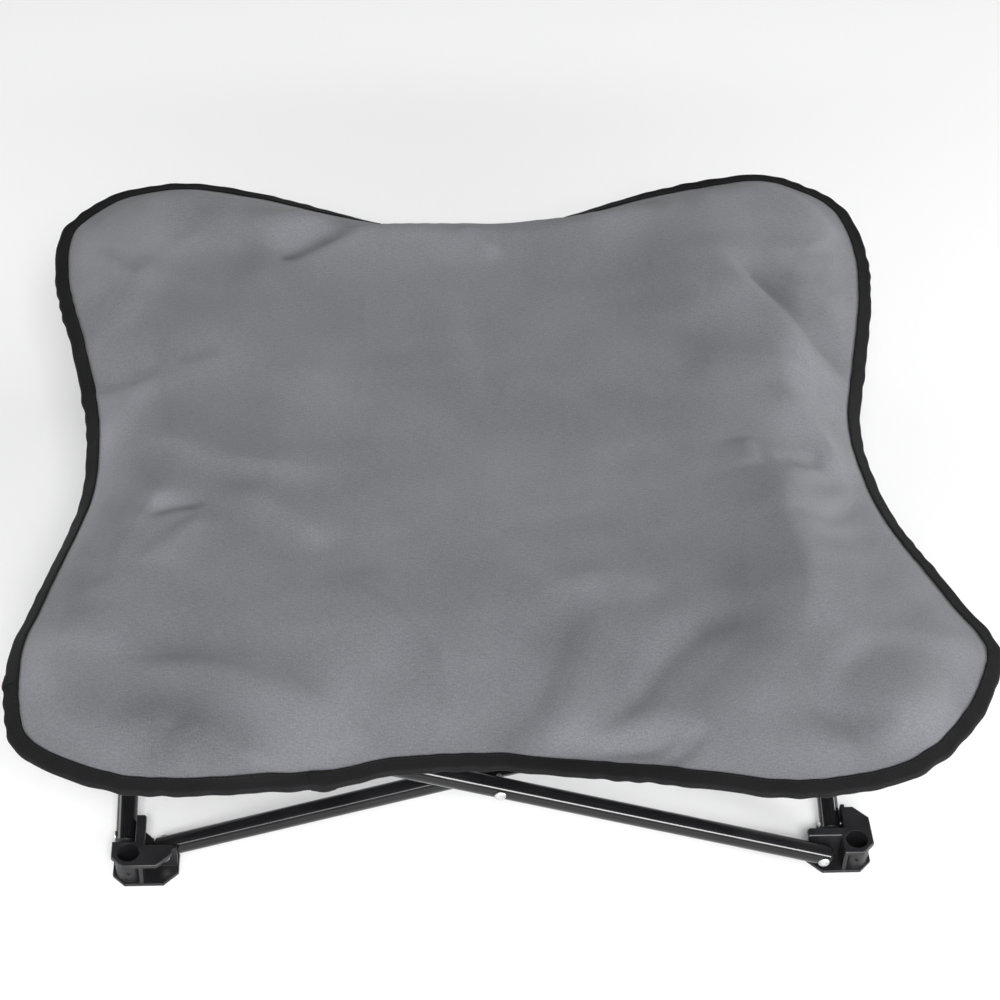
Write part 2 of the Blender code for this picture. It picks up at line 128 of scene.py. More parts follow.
# Folds of the cover, each as the points along it in millimetres, its height in millimetres (below 0
# for a valley), how far its slopes reach to its left and to its right, and how much lighter its
# colour is painted on its left and on its right, in percent, as painted light and shade along the
# fold. The lines were laid one by one. Their sideways place, heights, reaches and percents, and the
# percents of the broad places below, were then fitted to the photograph.
FOLDS = (
    (((-198, 269), (-133, 310), (-41, 332), (65, 345), (153, 338), (242, 331)), 10, 26, 102, 16, 12),
    (((-214, 258), (-170, 293), (-118, 328)), -12, 55, 22, 12, 24),
    (((-243, 302), (-181, 335), (-134, 356)), 6, 34, 48, 16, -3),
    (((-14, 330), (30, 276)), 5, 18, 30, -7, -3),
    (((-322, 235), (-284, 284), (-208, 261)), -7, 60, 100, -1, -2),
    (((-405, 128), (-373, 176), (-348, 230), (-321, 264)), 7, 22, 46, 3, 5),
    (((-396, 116), (-356, 104), (-312, 100)), -9, 46, 22, -5, 14),
    (((-302, 91), (-246, 111)), 3, 18, 34, -2, -5),
    (((-383, 24), (-362, 44), (-346, 68), (-314, 102)), 7, 20, 39, 5, 5),
    (((-330, 200), (-252, 145), (-186, 89), (-110, 45)), 9, 87, 95, -3, -5),
    (((-350, 23), (-281, -18), (-221, -41), (-130, -48)), 8, 122, 34, -1, 0),
    (((-322, -120), (-295, -98), (-259, -94)), -6, 24, 16, 2, 11),
    (((-317, -192), (-286, -147), (-256, -106)), 6, 18, 44, 24, 4),
    (((-334, -139), (-296, -63)), 4, 16, 20, 12, 4),
    (((-243, -66), (-190, -109), (-142, -155)), 6, 40, 40, 10, 11),
    (((-342, -293), (-265, -284), (-190, -302), (-157, -340)), -8, 80, 28, -16, -1),
    (((-333, -353), (-265, -375), (-218, -398), (-168, -406)), 10, 44, 34, -11, -24),
    (((40, -219), (93, -193), (150, -225)), 6, 44, 40, 17, 5),
    (((64, -211), (57, -268), (30, -320), (-18, -359)), -7, 34, 70, -12, -10),
    (((113, -264), (96, -322), (85, -358)), -4, 20, 18, -2, -10),
    (((225, -218), (176, -259), (142, -293), (106, -336), (78, -358)), -10, 37, 34, 3, -3),
    (((236, -70), (231, -181), (216, -260), (170, -313), (123, -349), (84, -358)), -11, 60, 101, -5, -10),
    (((78, -359), (122, -367), (172, -359)), -6, 26, 18, 5, 14),
    (((318, -14), (282, -67), (269, -119), (274, -167), (278, -244), (246, -300)), 15, 81, 90, 5, -3),
    (((262, 280), (307, 202), (345, 140), (382, 108)), -11, 44, 20, -3, -1),
    (((244, 262), (284, 187), (325, 112), (378, 90)), 9, 24, 56, 9, 13),
    (((284, 73), (316, 33), (336, 5), (343, -57)), 10, 38, 48, 2, 1),
    (((270, -42), (299, -38), (330, -18)), -6, 18, 18, -15, 1),
    (((249, -6), (251, -56)), 5, 14, 30, -6, 2),
    (((290, -146), (324, -107), (368, -44)), -5, 18, 22, -1, 13),
    (((199, 110), (268, 98), (339, 86)), 6, 46, 80, 10, -3),
    (((246, 310), (248, 256), (220, 140)), 6, 70, 60, 4, 11),
    (((0, -363), (81, -367), (136, -378), (170, -353)), -6, 20, 26, 5, 15),
    (((133, -396), (155, -380), (173, -361)), -6, 12, 12, 2, 7),
    (((250, -345), (290, -376), (340, -362)), -4, 26, 26, -11, -13),
    (((-120, 250), (-110, 120), (-130, 20)), -2, 50, 40, -3, -9),
    (((-20, 250), (0, 130), (10, 20)), -3, 44, 40, 6, 8),
    (((-150, -180), (-60, -250), (-40, -330)), 4, 60, 50, -2, -11),
)

# Broad places of painted light and shade, where the cover's colour is made lighter or darker: middle,
# two radii, turn in degrees and percent lighter.
PAINTED_SHADE_SPOTS = (
    ((-330, -370), (110, 34), 0, -20),
    ((0, -350), (120, 30), 0, -6),
    ((250, -390), (110, 34), 0, -13),
    ((395, -290), (34, 80), 0, 5),
    ((-400, -290), (30, 80), 0, 8),
    ((385, 300), (34, 80), 0, -4),
    ((330, -20), (62, 150), 0, 12),
    ((195, 130), (50, 190), 0, -7),
    ((242, -170), (30, 80), 0, -2),
    ((155, -300), (30, 90), -40, 3),
    ((-330, 330), (90, 90), 0, 24),
    ((330, 340), (90, 90), 0, 20),
    ((350, -300), (80, 110), 0, -5),
    ((-350, -300), (80, 110), 0, 4),
    ((-370, -30), (34, 120), 0, 21),
    ((-225, 15), (40, 110), 75, -3),
    ((20, -260), (50, 120), -60, -10),
    ((-250, -330), (45, 90), 80, -11),
    ((0, 100), (120, 160), 0, -2),
    ((-40, -120), (140, 100), 0, 1),
    ((340, 190), (34, 90), -35, -11),
    ((-120, 260), (90, 60), 0, 6),
)

# Slow waves of the cover: length in metres, turn in radians, height in millimetres.
WAVES = ((0.21, 0.4, 0.9), (0.13, 1.9, 0.6), (0.083, 2.7, 0.35), (0.057, 0.9, 0.2))

# Where the tape's ends overlap: the place on the edge in millimetres, and half the overlap in steps
# of about 3 mm.
TAPE_JOINS = (((-156, -407), 3), ((-424, -296), 2))

# Softboxes: name, place, aim, width, height and share of the main light's power.
SOFTBOXES = (
    ("front_light", (0.0, -4.25, 4.45), (0, 0, 0.2), 2.4, 1.6, 1.0),
    ("right_light", (5.9, -0.4, 1.6), (0, 0, 0.2), 3.6, 2.6, 0.95),
    ("left_light", (-5.8, 0.8, 1.3), (0, 0, 0.2), 3.6, 2.4, 0.38),
    ("strip_light", (0.0, -2.9, 1.5), (0.0, 0.0, 0.1), 6.4, 0.32, 0.22),
    ("shine_light", (2.5, -3.0, 1.45), (2.5, 0.0, 0.1), 5.2, 0.70, 0.7),
)


class PanelSizes(bpy.types.PropertyGroup):
    """The padded panel."""

    thickness: FloatProperty(
        name="Thickness", description="Of the padding between the two faces", default=0.010,
        min=0.004, max=0.03, unit="LENGTH",
    )
    edge: FloatProperty(
        name="Edge thickness", description="Where the tape holds the two faces together",
        default=0.005, min=0.002, max=0.02, unit="LENGTH",
    )
    sag: FloatProperty(
        name="Sag", description="Of the panel between its posts", default=0.016, min=0.0,
        max=0.08, unit="LENGTH",
    )
    bowl: FloatProperty(
        name="Bowl", description="How much lower the middle lies than the lines between the posts",
        default=0.004, min=0.0, max=0.05, unit="LENGTH",
    )
    band: FloatProperty(
        name="Bent band", description="Width of the edge that bends down", default=0.075,
        min=0.02, max=0.15, unit="LENGTH",
    )
    lobe_droop: FloatProperty(
        name="Corner droop", description="Of the edge at a rounded corner", default=0.028,
        min=0.0, max=0.1, unit="LENGTH",
    )
    side_droop: FloatProperty(
        name="Side droop", description="Of the edge at the middle of a side", default=0.044,
        min=0.0, max=0.1, unit="LENGTH",
    )
    pressure: FloatProperty(
        name="Fill", description="Pressure of the padding on its cover while it settles",
        default=4.0, min=0.0, max=20.0,
    )
    travel: FloatProperty(
        name="Travel", description="Farthest that settling may move a point of the cover",
        default=0.005, min=0.0, max=0.03, unit="LENGTH",
    )
    weave: FloatProperty(
        name="Thread pitch", description="Between two threads of the cover", default=0.0011,
        min=0.0002, max=0.01, unit="LENGTH",
    )
    colour: FloatVectorProperty(
        name="Cover", description="Colour of the cover", default=(0.147, 0.150, 0.162),
        subtype="COLOR", min=0.0, max=1.0,
    )


class TapeSizes(bpy.types.PropertyGroup):
    """The tape round the panel's edge and its stitching."""

    width: FloatProperty(
        name="Tape width", description="Of the tape on each face of the panel", default=0.0138,
        min=0.005, max=0.04, unit="LENGTH",
    )
    wall: FloatProperty(
        name="Tape thickness", description="Of the tape with its fold", default=0.0014,
        min=0.0004, max=0.004, unit="LENGTH",
    )
    pucker: FloatProperty(
        name="Pucker", description="Height of the small waves along the tape", default=0.0007,
        min=0.0, max=0.005, unit="LENGTH",
    )
    stitch: FloatProperty(
        name="Stitch pitch", description="Between two stitches", default=0.0042, min=0.002,
        max=0.02, unit="LENGTH",
    )
    thread: FloatProperty(
        name="Thread", description="Thickness of the sewing thread", default=0.0007, min=0.0002,
        max=0.003, unit="LENGTH",
    )
    colour: FloatVectorProperty(
        name="Tape", description="Colour of the tape", default=(0.0044, 0.0044, 0.0049),
        subtype="COLOR", min=0.0, max=1.0,
    )


class FrameFinish(bpy.types.PropertyGroup):
    """Finishes of the folding frame."""

    paint: FloatVectorProperty(
        name="Tube paint", description="Colour of the tubes", default=(0.0060, 0.0060, 0.0066),
        subtype="COLOR", min=0.0, max=1.0,
    )
    gloss: FloatProperty(
        name="Tube roughness", description="Of the paint's surface", default=0.09, min=0.0,
        max=1.0, subtype="FACTOR",
    )
    plastic: FloatVectorProperty(
        name="Mouldings", description="Colour of the hubs, posts and plugs",
        default=(0.0105, 0.0105, 0.0115), subtype="COLOR", min=0.0, max=1.0,
    )
    tube: FloatProperty(
        name="Tube width", description="Outside width of a tube", default=0.019, min=0.01,
        max=0.03, unit="LENGTH",
    )
    wall: FloatProperty(
        name="Tube wall", description="Thickness of a tube's wall", default=0.0012, min=0.0005,
        max=0.003, unit="LENGTH",
    )
    past_rivet: FloatProperty(
        name="Past the rivet", description="Straight tube beyond an end rivet", default=0.005,
        min=0.0, max=0.02, unit="LENGTH",
    )
    round_over: FloatProperty(
        name="Rounded edges", description="Of the mouldings", default=0.0006, min=0.0001,
        max=0.002, unit="LENGTH",
    )
    boss: FloatProperty(
        name="Boss radius", description="From a post's axis to the face of its screws",
        default=0.0120, min=0.005, max=0.03, unit="LENGTH",
    )
    screw: FloatProperty(
        name="Screw head", description="Width of a screw's head", default=0.0040, min=0.001,
        max=0.01, unit="LENGTH",
    )
    rivet: FloatVectorProperty(
        name="Rivets", description="Colour of the bare rivets", default=(0.60, 0.61, 0.61),
        subtype="COLOR", min=0.0, max=1.0,
    )


class PocketSizes(bpy.types.PropertyGroup):
    """The pockets under the panel's corners."""

    patch: FloatProperty(
        name="Patch radius", description="Of the sewn cloth round a post", default=0.045,
        min=0.03, max=0.08, unit="LENGTH",
    )
    mouth: FloatProperty(
        name="Pocket radius", description="Of the pocket that the post's flange sits in",
        default=0.030, min=0.02, max=0.05, unit="LENGTH",
    )
    cloth: FloatProperty(
        name="Cloth", description="Thickness of the pocket's cloth", default=0.0009, min=0.0003,
        max=0.003, unit="LENGTH",
    )


class FoldedShape(bpy.types.PropertyGroup):
    """How the panel hangs on the folded frame."""

    inward: FloatProperty(
        name="Inward travel", description="Of a post as the frame folds", default=0.5479,
        min=0.0, max=1.0, unit="LENGTH",
    )
    upward: FloatProperty(
        name="Upward travel", description="Of the upper hubs as the frame folds", default=0.4311,
        min=0.0, max=1.0, unit="LENGTH",
    )
    stand_off: FloatProperty(
        name="Stand-off", description="Of the hanging flaps from the line between two posts",
        default=0.052, min=0.0, max=0.2, unit="LENGTH",
    )
    pouch: FloatProperty(
        name="Dip", description="Of the crumpled middle of the panel between the posts",
        default=0.03, min=0.0, max=0.3, unit="LENGTH",
    )
    pleat: FloatProperty(
        name="Pleats", description="Depth of the pleats in the hanging flaps", default=0.013,
        min=0.0, max=0.05, unit="LENGTH",
    )


class StageSetup(bpy.types.PropertyGroup):
    """Floor, light and camera."""

    floor: FloatVectorProperty(
        name="Floor", description="Colour of the floor", default=(0.93, 0.93, 0.93),
        subtype="COLOR", min=0.0, max=1.0,
    )
    horizon: FloatProperty(
        name="Wall light", description="Strength of the white walls all round", default=0.85,
        min=0.0, max=5.0,
    )
    ceiling: FloatProperty(
        name="Ceiling light", description="Strength of the ceiling", default=0.0, min=0.0, max=5.0,
    )
    key: FloatProperty(
        name="Main light", description="Power of the softbox in front", default=310.0, min=0.0,
        max=500.0, unit="POWER",
    )


def settings(name):
    return getattr(bpy.context.scene, "dog_bed_" + name)


# Shader groups


def new_group(name, inputs, outputs):
    """An empty shader group with its sockets: inputs as (name, type, default) rows."""
    tree = bpy.data.node_groups.new(name, "ShaderNodeTree")
    for label, kind, default in inputs:
        socket = tree.interface.new_socket(label, in_out="INPUT", socket_type=kind)
        if default is not None:
            socket.default_value = default
    for label, kind in outputs:
        tree.interface.new_socket(label, in_out="OUTPUT", socket_type=kind)
    return tree, tree.nodes.new("NodeGroupInput"), tree.nodes.new("NodeGroupOutput")


def node(tree, kind, inputs=(), **values):
    """A node with its properties set, and its sockets linked or given a value by (key, what)."""
    made = tree.nodes.new(kind)
    for key, value in values.items():
        setattr(made, key, value)
    for key, what in inputs:
        if isinstance(what, bpy.types.NodeSocket):
            tree.links.new(what, made.inputs[key])
        else:
            made.inputs[key].default_value = what
    return made


def maths(tree, operation, *values):
    made = node(tree, "ShaderNodeMath", list(enumerate(values)), operation=operation)
    return made.outputs[0]


def plus_share(tree, base, mask, share):
    """A value with a share of a mask added."""
    return maths(tree, "ADD", base, maths(tree, "MULTIPLY", mask, share))


def ramp(tree, factor, low, high):
    """Stretches low..high of a mask over 0..1, with soft ends."""
    made = node(
        tree, "ShaderNodeMapRange", [("Value", factor), ("From Min", low), ("From Max", high)],
        interpolation_type="SMOOTHSTEP",
    )
    return made.outputs["Result"]


def noise(tree, vector, scale, detail=3.0, roughness=0.5):
    made = node(
        tree, "ShaderNodeTexNoise",
        [("Vector", vector), ("Scale", scale), ("Detail", detail), ("Roughness", roughness)],
    )
    return made.outputs["Fac"]


def plain_weave_group():
    """Over-and-under threads along both axes of the cloth, with uneven yarn."""
    tree, source, sink = new_group(
        "plain_weave",
        [("Vector", "NodeSocketVector", None), ("Pitch", "NodeSocketFloat", 0.001),
         ("Unevenness", "NodeSocketFloat", 0.5)],
        [("Height", "NodeSocketFloat"), ("Tone", "NodeSocketFloat")],
    )
    vector = source.outputs["Vector"]
    parts = node(tree, "ShaderNodeSeparateXYZ", [("Vector", vector)])
    along = maths(tree, "DIVIDE", parts.outputs["X"], source.outputs["Pitch"])
    across = maths(tree, "DIVIDE", parts.outputs["Y"], source.outputs["Pitch"])
    warp, weft = (
        maths(tree, "ABSOLUTE", maths(tree, "SINE", maths(tree, "MULTIPLY", way, math.pi)))
        for way in (along, across)
    )
    steps = maths(tree, "ADD", maths(tree, "FLOOR", along), maths(tree, "FLOOR", across))
    over = maths(tree, "PINGPONG", steps, 1.0)
    warp_on_top = maths(tree, "MULTIPLY", warp, over)
    weft_on_top = maths(tree, "MULTIPLY", weft, maths(tree, "SUBTRACT", 1.0, over))
    threads = maths(tree, "ADD", warp_on_top, weft_on_top)
    yarn = node(
        tree, "ShaderNodeMapping", [("Vector", vector), ("Scale", (140.0, 900.0, 140.0))]
    ).outputs[0]
    fleck = noise(tree, yarn, 1.0, 2.0, 0.6)
    either_way = maths(tree, "SUBTRACT", fleck, 0.5)
    height = plus_share(tree, threads, either_way, source.outputs["Unevenness"])
    tree.links.new(height, sink.inputs["Height"])
    tone = maths(tree, "ADD", maths(tree, "MULTIPLY", threads, 0.5), fleck)
    tree.links.new(tone, sink.inputs["Tone"])
    return tree


def blotch_group():
    """Slow uneven tone, as handling, dust and dye leave it, with fine grain on top."""
    tree, source, sink = new_group(
        "blotches",
        [("Vector", "NodeSocketVector", None), ("Size", "NodeSocketFloat", 0.1),
         ("Grain", "NodeSocketFloat", 0.001)],
        [("Broad", "NodeSocketFloat"), ("Fine", "NodeSocketFloat")],
    )
    vector = source.outputs["Vector"]
    broad = noise(tree, vector, maths(tree, "DIVIDE", 1.0, source.outputs["Size"]), 4.0, 0.55)
    fine = noise(tree, vector, maths(tree, "DIVIDE", 1.0, source.outputs["Grain"]), 2.0, 0.5)
    tree.links.new(ramp(tree, broad, 0.3, 0.7), sink.inputs["Broad"])
    tree.links.new(fine, sink.inputs["Fine"])
    return tree


# Materials


def new_material(name):
    """A material with its tree, its Principled shader and a node of texture coordinates."""
    material = bpy.data.materials.new(name)
    material.use_nodes = True
    tree = material.node_tree
    shader = tree.nodes["Principled BSDF"]
    return material, tree, shader, tree.nodes.new("ShaderNodeTexCoord")


def group_node(tree, name, inputs):
    return node(tree, "ShaderNodeGroup", inputs, node_tree=groups[name])


def blotches(tree, vector, size, grain):
    inputs = [("Vector", vector), ("Size", size), ("Grain", grain)]
    return group_node(tree, "blotch", inputs)


def weave(tree, vector, pitch, unevenness):
    inputs = [("Vector", vector), ("Pitch", pitch), ("Unevenness", unevenness)]
    return group_node(tree, "weave", inputs)


def shade_between(tree, factor, dark, light):
    """A colour between two by a mask. Sockets 6 and 7 of a colour mix are its two colours."""
    made = node(tree, "ShaderNodeMix", data_type="RGBA")
    tree.links.new(factor, made.inputs["Factor"])
    made.inputs[6].default_value = (*dark, 1.0)
    made.inputs[7].default_value = (*light, 1.0)
    return made.outputs[2]


def bump(tree, shader, height, distance, strength=1.0, onto=None):
    inputs = [("Height", height), ("Distance", distance), ("Strength", strength)]
    if onto is not None:
        inputs.append(("Normal", onto))
    made = node(tree, "ShaderNodeBump", inputs)
    tree.links.new(made.outputs["Normal"], shader.inputs["Normal"])
    return made.outputs["Normal"]


def times(colour, factor):
    return tuple(min(1.0, c * factor) for c in colour)


def cover_material():
    """Woven cover: mottled yarn, fine weave and the soft crumple of coated cloth."""
    sizes = settings("panel")
    material, tree, shader, coords = new_material("woven_cover")
    plan = coords.outputs["UV"]
    yarn = weave(tree, plan, sizes.weave, 0.9)
    blotch = blotches(tree, plan, 0.16, 0.0016)
    tone = maths(tree, "MULTIPLY", yarn.outputs["Tone"], 0.35)
    tone = plus_share(tree, tone, blotch.outputs["Fine"], 0.50)
    tone = plus_share(tree, tone, blotch.outputs["Broad"], 0.12)
    dark, light = times(sizes.colour, 0.70), times(sizes.colour, 1.32)
    colour = shade_between(tree, ramp(tree, tone, 0.33, 0.87), dark, light)
    # Painted light and shade: the colour is made lighter or darker by the fold shading kept on the cover.
    painted_shade = node(tree, "ShaderNodeAttribute", attribute_name="painted_shade")
    painted_lighter = maths(tree, "ADD", 1.0, painted_shade.outputs["Fac"])
    scaled = node(
        tree, "ShaderNodeVectorMath", [(0, colour), ("Scale", painted_lighter)], operation="SCALE"
    )
    tree.links.new(scaled.outputs["Vector"], shader.inputs["Base Color"])
    rough = plus_share(tree, 0.78, blotch.outputs["Fine"], 0.14)
    tree.links.new(rough, shader.inputs["Roughness"])
    shader.inputs["Sheen Weight"].default_value = 0.08
    shader.inputs["Sheen Roughness"].default_value = 0.5
    shader.inputs["Specular IOR Level"].default_value = 0.3
    crumple = noise(tree, plan, 26.0, 3.0, 0.5)
    soft = bump(tree, shader, crumple, 0.0035, 0.3)
    bump(tree, shader, yarn.outputs["Height"], 0.00022, 0.8, soft)
    return material


def tape_material(name="tape"):
    """Ribbed black tape."""
    sizes = settings("tape")
    material, tree, shader, coords = new_material(name)
    along = coords.outputs["UV"]
    ribs = weave(tree, along, 0.0011, 0.5)
    blotch = blotches(tree, along, 0.03, 0.0012)
    tone = maths(tree, "MULTIPLY", ribs.outputs["Tone"], 0.5)
    tone = plus_share(tree, tone, blotch.outputs["Broad"], 0.4)
    colour = shade_between(tree, tone, times(sizes.colour, 0.7), times(sizes.colour, 1.9))
    tree.links.new(colour, shader.inputs["Base Color"])
    rough = plus_share(tree, 0.62, blotch.outputs["Fine"], 0.2)
    tree.links.new(rough, shader.inputs["Roughness"])
    shader.inputs["Specular IOR Level"].default_value = 0.13
    bump(tree, shader, ribs.outputs["Height"], 0.00025, 0.9)
    return material


def thread_material():
    """Dull black thread with its twist."""
    material, tree, shader, coords = new_material("sewing_thread")
    place = coords.outputs["Object"]
    twist = node(
        tree, "ShaderNodeTexWave", [("Vector", place), ("Scale", 900.0), ("Distortion", 2.0)]
    )
    dark, light = (0.004, 0.004, 0.0045), (0.013, 0.013, 0.014)
    colour = shade_between(tree, twist.outputs["Fac"], dark, light)
    tree.links.new(colour, shader.inputs["Base Color"])
    shader.inputs["Roughness"].default_value = 0.65
    shader.inputs["Specular IOR Level"].default_value = 0.2
    shader.inputs["Sheen Weight"].default_value = 0.03
    return material


def plastic_material(name, size, gloss):
    """Moulded black plastic: even tone, fine grain and faint flow marks."""
    finish = settings("frame")
    material, tree, shader, coords = new_material(name)
    blotch = blotches(tree, coords.outputs["Object"], size, 0.0007)
    dark, light = times(finish.plastic, 0.8), times(finish.plastic, 1.35)
    colour = shade_between(tree, blotch.outputs["Broad"], dark, light)
    tree.links.new(colour, shader.inputs["Base Color"])
    marks = maths(tree, "MULTIPLY", blotch.outputs["Broad"], 0.12)
    marks = plus_share(tree, marks, blotch.outputs["Fine"], 0.10)
    tree.links.new(maths(tree, "ADD", gloss, marks), shader.inputs["Roughness"])
    shader.inputs["Specular IOR Level"].default_value = 0.36
    bump(tree, shader, blotch.outputs["Fine"], 0.00006, 0.6)
    return material


def paint_material():
    """Glossy black tube paint with a slight orange peel and dust."""
    finish = settings("frame")
    material, tree, shader, coords = new_material("tube_paint")
    blotch = blotches(tree, coords.outputs["Object"], 0.05, 0.0022)
    dark, light = times(finish.paint, 0.8), times(finish.paint, 1.5)
    colour = shade_between(tree, blotch.outputs["Broad"], dark, light)
    tree.links.new(colour, shader.inputs["Base Color"])
    rough = plus_share(tree, finish.gloss, blotch.outputs["Broad"], 0.05)
    tree.links.new(rough, shader.inputs["Roughness"])
    shader.inputs["Specular IOR Level"].default_value = 0.30
    shader.inputs["Coat Weight"].default_value = 0.15
    shader.inputs["Coat Roughness"].default_value = 0.05
    bump(tree, shader, blotch.outputs["Fine"], 0.00003, 0.5)
    return material


def screw_material():
    """Blackened screw steel."""
    material, tree, shader, coords = new_material("screw_steel")
    blotch = blotches(tree, coords.outputs["Object"], 0.003, 0.0004)
    dark, light = (0.02, 0.02, 0.021), (0.09, 0.09, 0.092)
    colour = shade_between(tree, blotch.outputs["Broad"], dark, light)
    tree.links.new(colour, shader.inputs["Base Color"])
    shader.inputs["Metallic"].default_value = 1.0
    rough = plus_share(tree, 0.35, blotch.outputs["Fine"], 0.2)
    tree.links.new(rough, shader.inputs["Roughness"])
    return material


def rivet_material():
    """Bare rolled steel with fine scratches and uneven darker patches."""
    finish = settings("frame")
    material, tree, shader, coords = new_material("rivet_steel")
    blotch = blotches(tree, coords.outputs["Object"], 0.004, 0.0005)
    dark, light = times(finish.rivet, 0.7), times(finish.rivet, 1.1)
    colour = shade_between(tree, blotch.outputs["Broad"], dark, light)
    tree.links.new(colour, shader.inputs["Base Color"])
    shader.inputs["Metallic"].default_value = 1.0
    rough = plus_share(tree, 0.26, blotch.outputs["Fine"], 0.25)
    tree.links.new(rough, shader.inputs["Roughness"])
    bump(tree, shader, blotch.outputs["Fine"], 0.00004, 0.5)
    return material


# Panel's shape


def smooth_step(t):
    t = np.clip(t, 0.0, 1.0)
    return t * t * (3.0 - 2.0 * t)


def rising(value, start, width, least=0.0):
    """Goes smoothly from the least to 1 while a value passes from its start through a width."""
    return least + (1 - least) * smooth_step((value - start) / width)


def edge_curve(count):
    """The panel's edge as evenly spaced plan points, which run clockwise seen from above."""
    knots, cuts = np.array(EDGE, float) / MM_PER_M, 40
    before, after, beyond = np.roll(knots, 1, 0), np.roll(knots, -1, 0), np.roll(knots, -2, 0)
    t = np.linspace(0.0, 1.0, cuts, endpoint=False)[None, :, None]
    here, before, after, beyond = (a[:, None, :] for a in (knots, before, after, beyond))
    curve = 0.5 * (
        2 * here + (after - before) * t + (2 * before - 5 * here + 4 * after - beyond) * t**2
        + (3 * here - before - 3 * after + beyond) * t**3
    )
    return evenly(curve.reshape(-1, 2), count)


def evenly(loop, count):
    """A closed loop of points, laid out again with even steps."""
    closed = np.vstack([loop, loop[:1]])
    far = np.concatenate([[0.0], np.cumsum(np.linalg.norm(np.diff(closed, axis=0), axis=1))])
    at = np.linspace(0.0, far[-1], count, endpoint=False)
    return np.stack([np.interp(at, far, closed[:, i]) for i in range(loop.shape[1])], 1)


def edge_normals(loop):
    """Outward plan normals of a clockwise loop."""
    ahead = np.roll(loop, -1, 0) - np.roll(loop, 1, 0)
    ahead /= np.linalg.norm(ahead, axis=1)[:, None]
    return np.stack([-ahead[:, 1], ahead[:, 0]], 1)


def rest_height(plan):
    """Height of the panel's mid surface before its edge bends down."""
    sizes = settings("panel")
    x, y = plan[:, 0], plan[:, 1]
    taut_share = 0.7
    cornered = np.abs(x * y) / (taut_share * POST_XY**2)
    middle = PANEL_TOP - sizes.thickness / 2
    inside = np.clip(1 - (np.maximum(np.abs(x), np.abs(y)) / POST_XY) ** 2, 0, 1)
    return middle - sizes.sag * (1 - smooth_step(cornered)) - sizes.bowl * inside


def edge_droop(plan):
    """How far the edge hangs down, by the direction from the panel's middle."""
    sizes = settings("panel")
    cornered = (2 * plan[:, 0] * plan[:, 1] / np.sum(plan**2, 1)) ** 2
    return sizes.side_droop + (sizes.lobe_droop - sizes.side_droop) * cornered


def bend(plan):
    """Steepness and width of the bent band, by the direction from the panel's middle."""
    angle = np.degrees(np.arctan2(plan[:, 1], plan[:, 0]))
    at, steep, width = zip(*BEND)
    return np.interp(angle, at, steep), np.interp(angle, at, width) * settings("panel").band


def relief(plan):
    """Folds and slow waves of the cover, as height added at plan points."""
    height = np.zeros(len(plan))
    for line, rise, left, right, *_ in FOLDS:
        knots = rounded(np.array(line, float) / MM_PER_M)
        near = fold_profile(plan, knots, left / MM_PER_M, right / MM_PER_M)[0]
        height += rise / MM_PER_M * near
    x, y = plan[:, 0], plan[:, 1]
    sway, sways, stretch = 1.7, 3.1, 1.6
    for size, turn, high in WAVES:
        along = x * math.cos(turn) + y * math.sin(turn)
        across = y * math.cos(turn) - x * math.sin(turn)
        wave = np.sin(2 * math.pi * along / size + sway * np.sin(across / size * sways))
        height += high / MM_PER_M * wave * np.cos(2 * math.pi * across / (stretch * size) + turn)
    return height


def rounded(knots):
    """A short polyline cut finer, with its corners rounded off."""
    for _ in range(3):
        inner = np.empty((2 * len(knots), 2))
        inner[0], inner[-1] = knots[0], knots[-1]
        inner[1:-1:2] = 0.75 * knots[:-1] + 0.25 * knots[1:]
        inner[2:-1:2] = 0.25 * knots[:-1] + 0.75 * knots[1:]
        knots = inner
    return knots


def painted_shade_tone(plan):
    """Painted light and shade: how much lighter the cover's colour is made at plan points, as a share."""
    tone = np.zeros(len(plan))
    least_reach, spread = 30, 1.6
    # Painted light on one side of each fold and painted shade on the other.
    for line, _, left, right, painted_light_left, painted_light_right in FOLDS:
        reach = (max(left, least_reach) / MM_PER_M, max(right, least_reach) / MM_PER_M)
        near, on_left = fold_profile(plan, rounded(np.array(line, float) / MM_PER_M), *reach)
        tone += np.sqrt(near) * (painted_light_left * on_left + painted_light_right * (1 - on_left)) / 100.0
    for (x, y), (wide, long), turn, painted_lighter in PAINTED_SHADE_SPOTS:
        offset = plan - np.array([x, y]) / MM_PER_M
        c, s = math.cos(math.radians(turn)), math.sin(math.radians(turn))
        across = (offset[:, 0] * c + offset[:, 1] * s) * MM_PER_M / wide
        along = (offset[:, 1] * c - offset[:, 0] * s) * MM_PER_M / long
        tone += painted_lighter / 100.0 * (1 - smooth_step(np.hypot(across, along) / spread))
    return tone


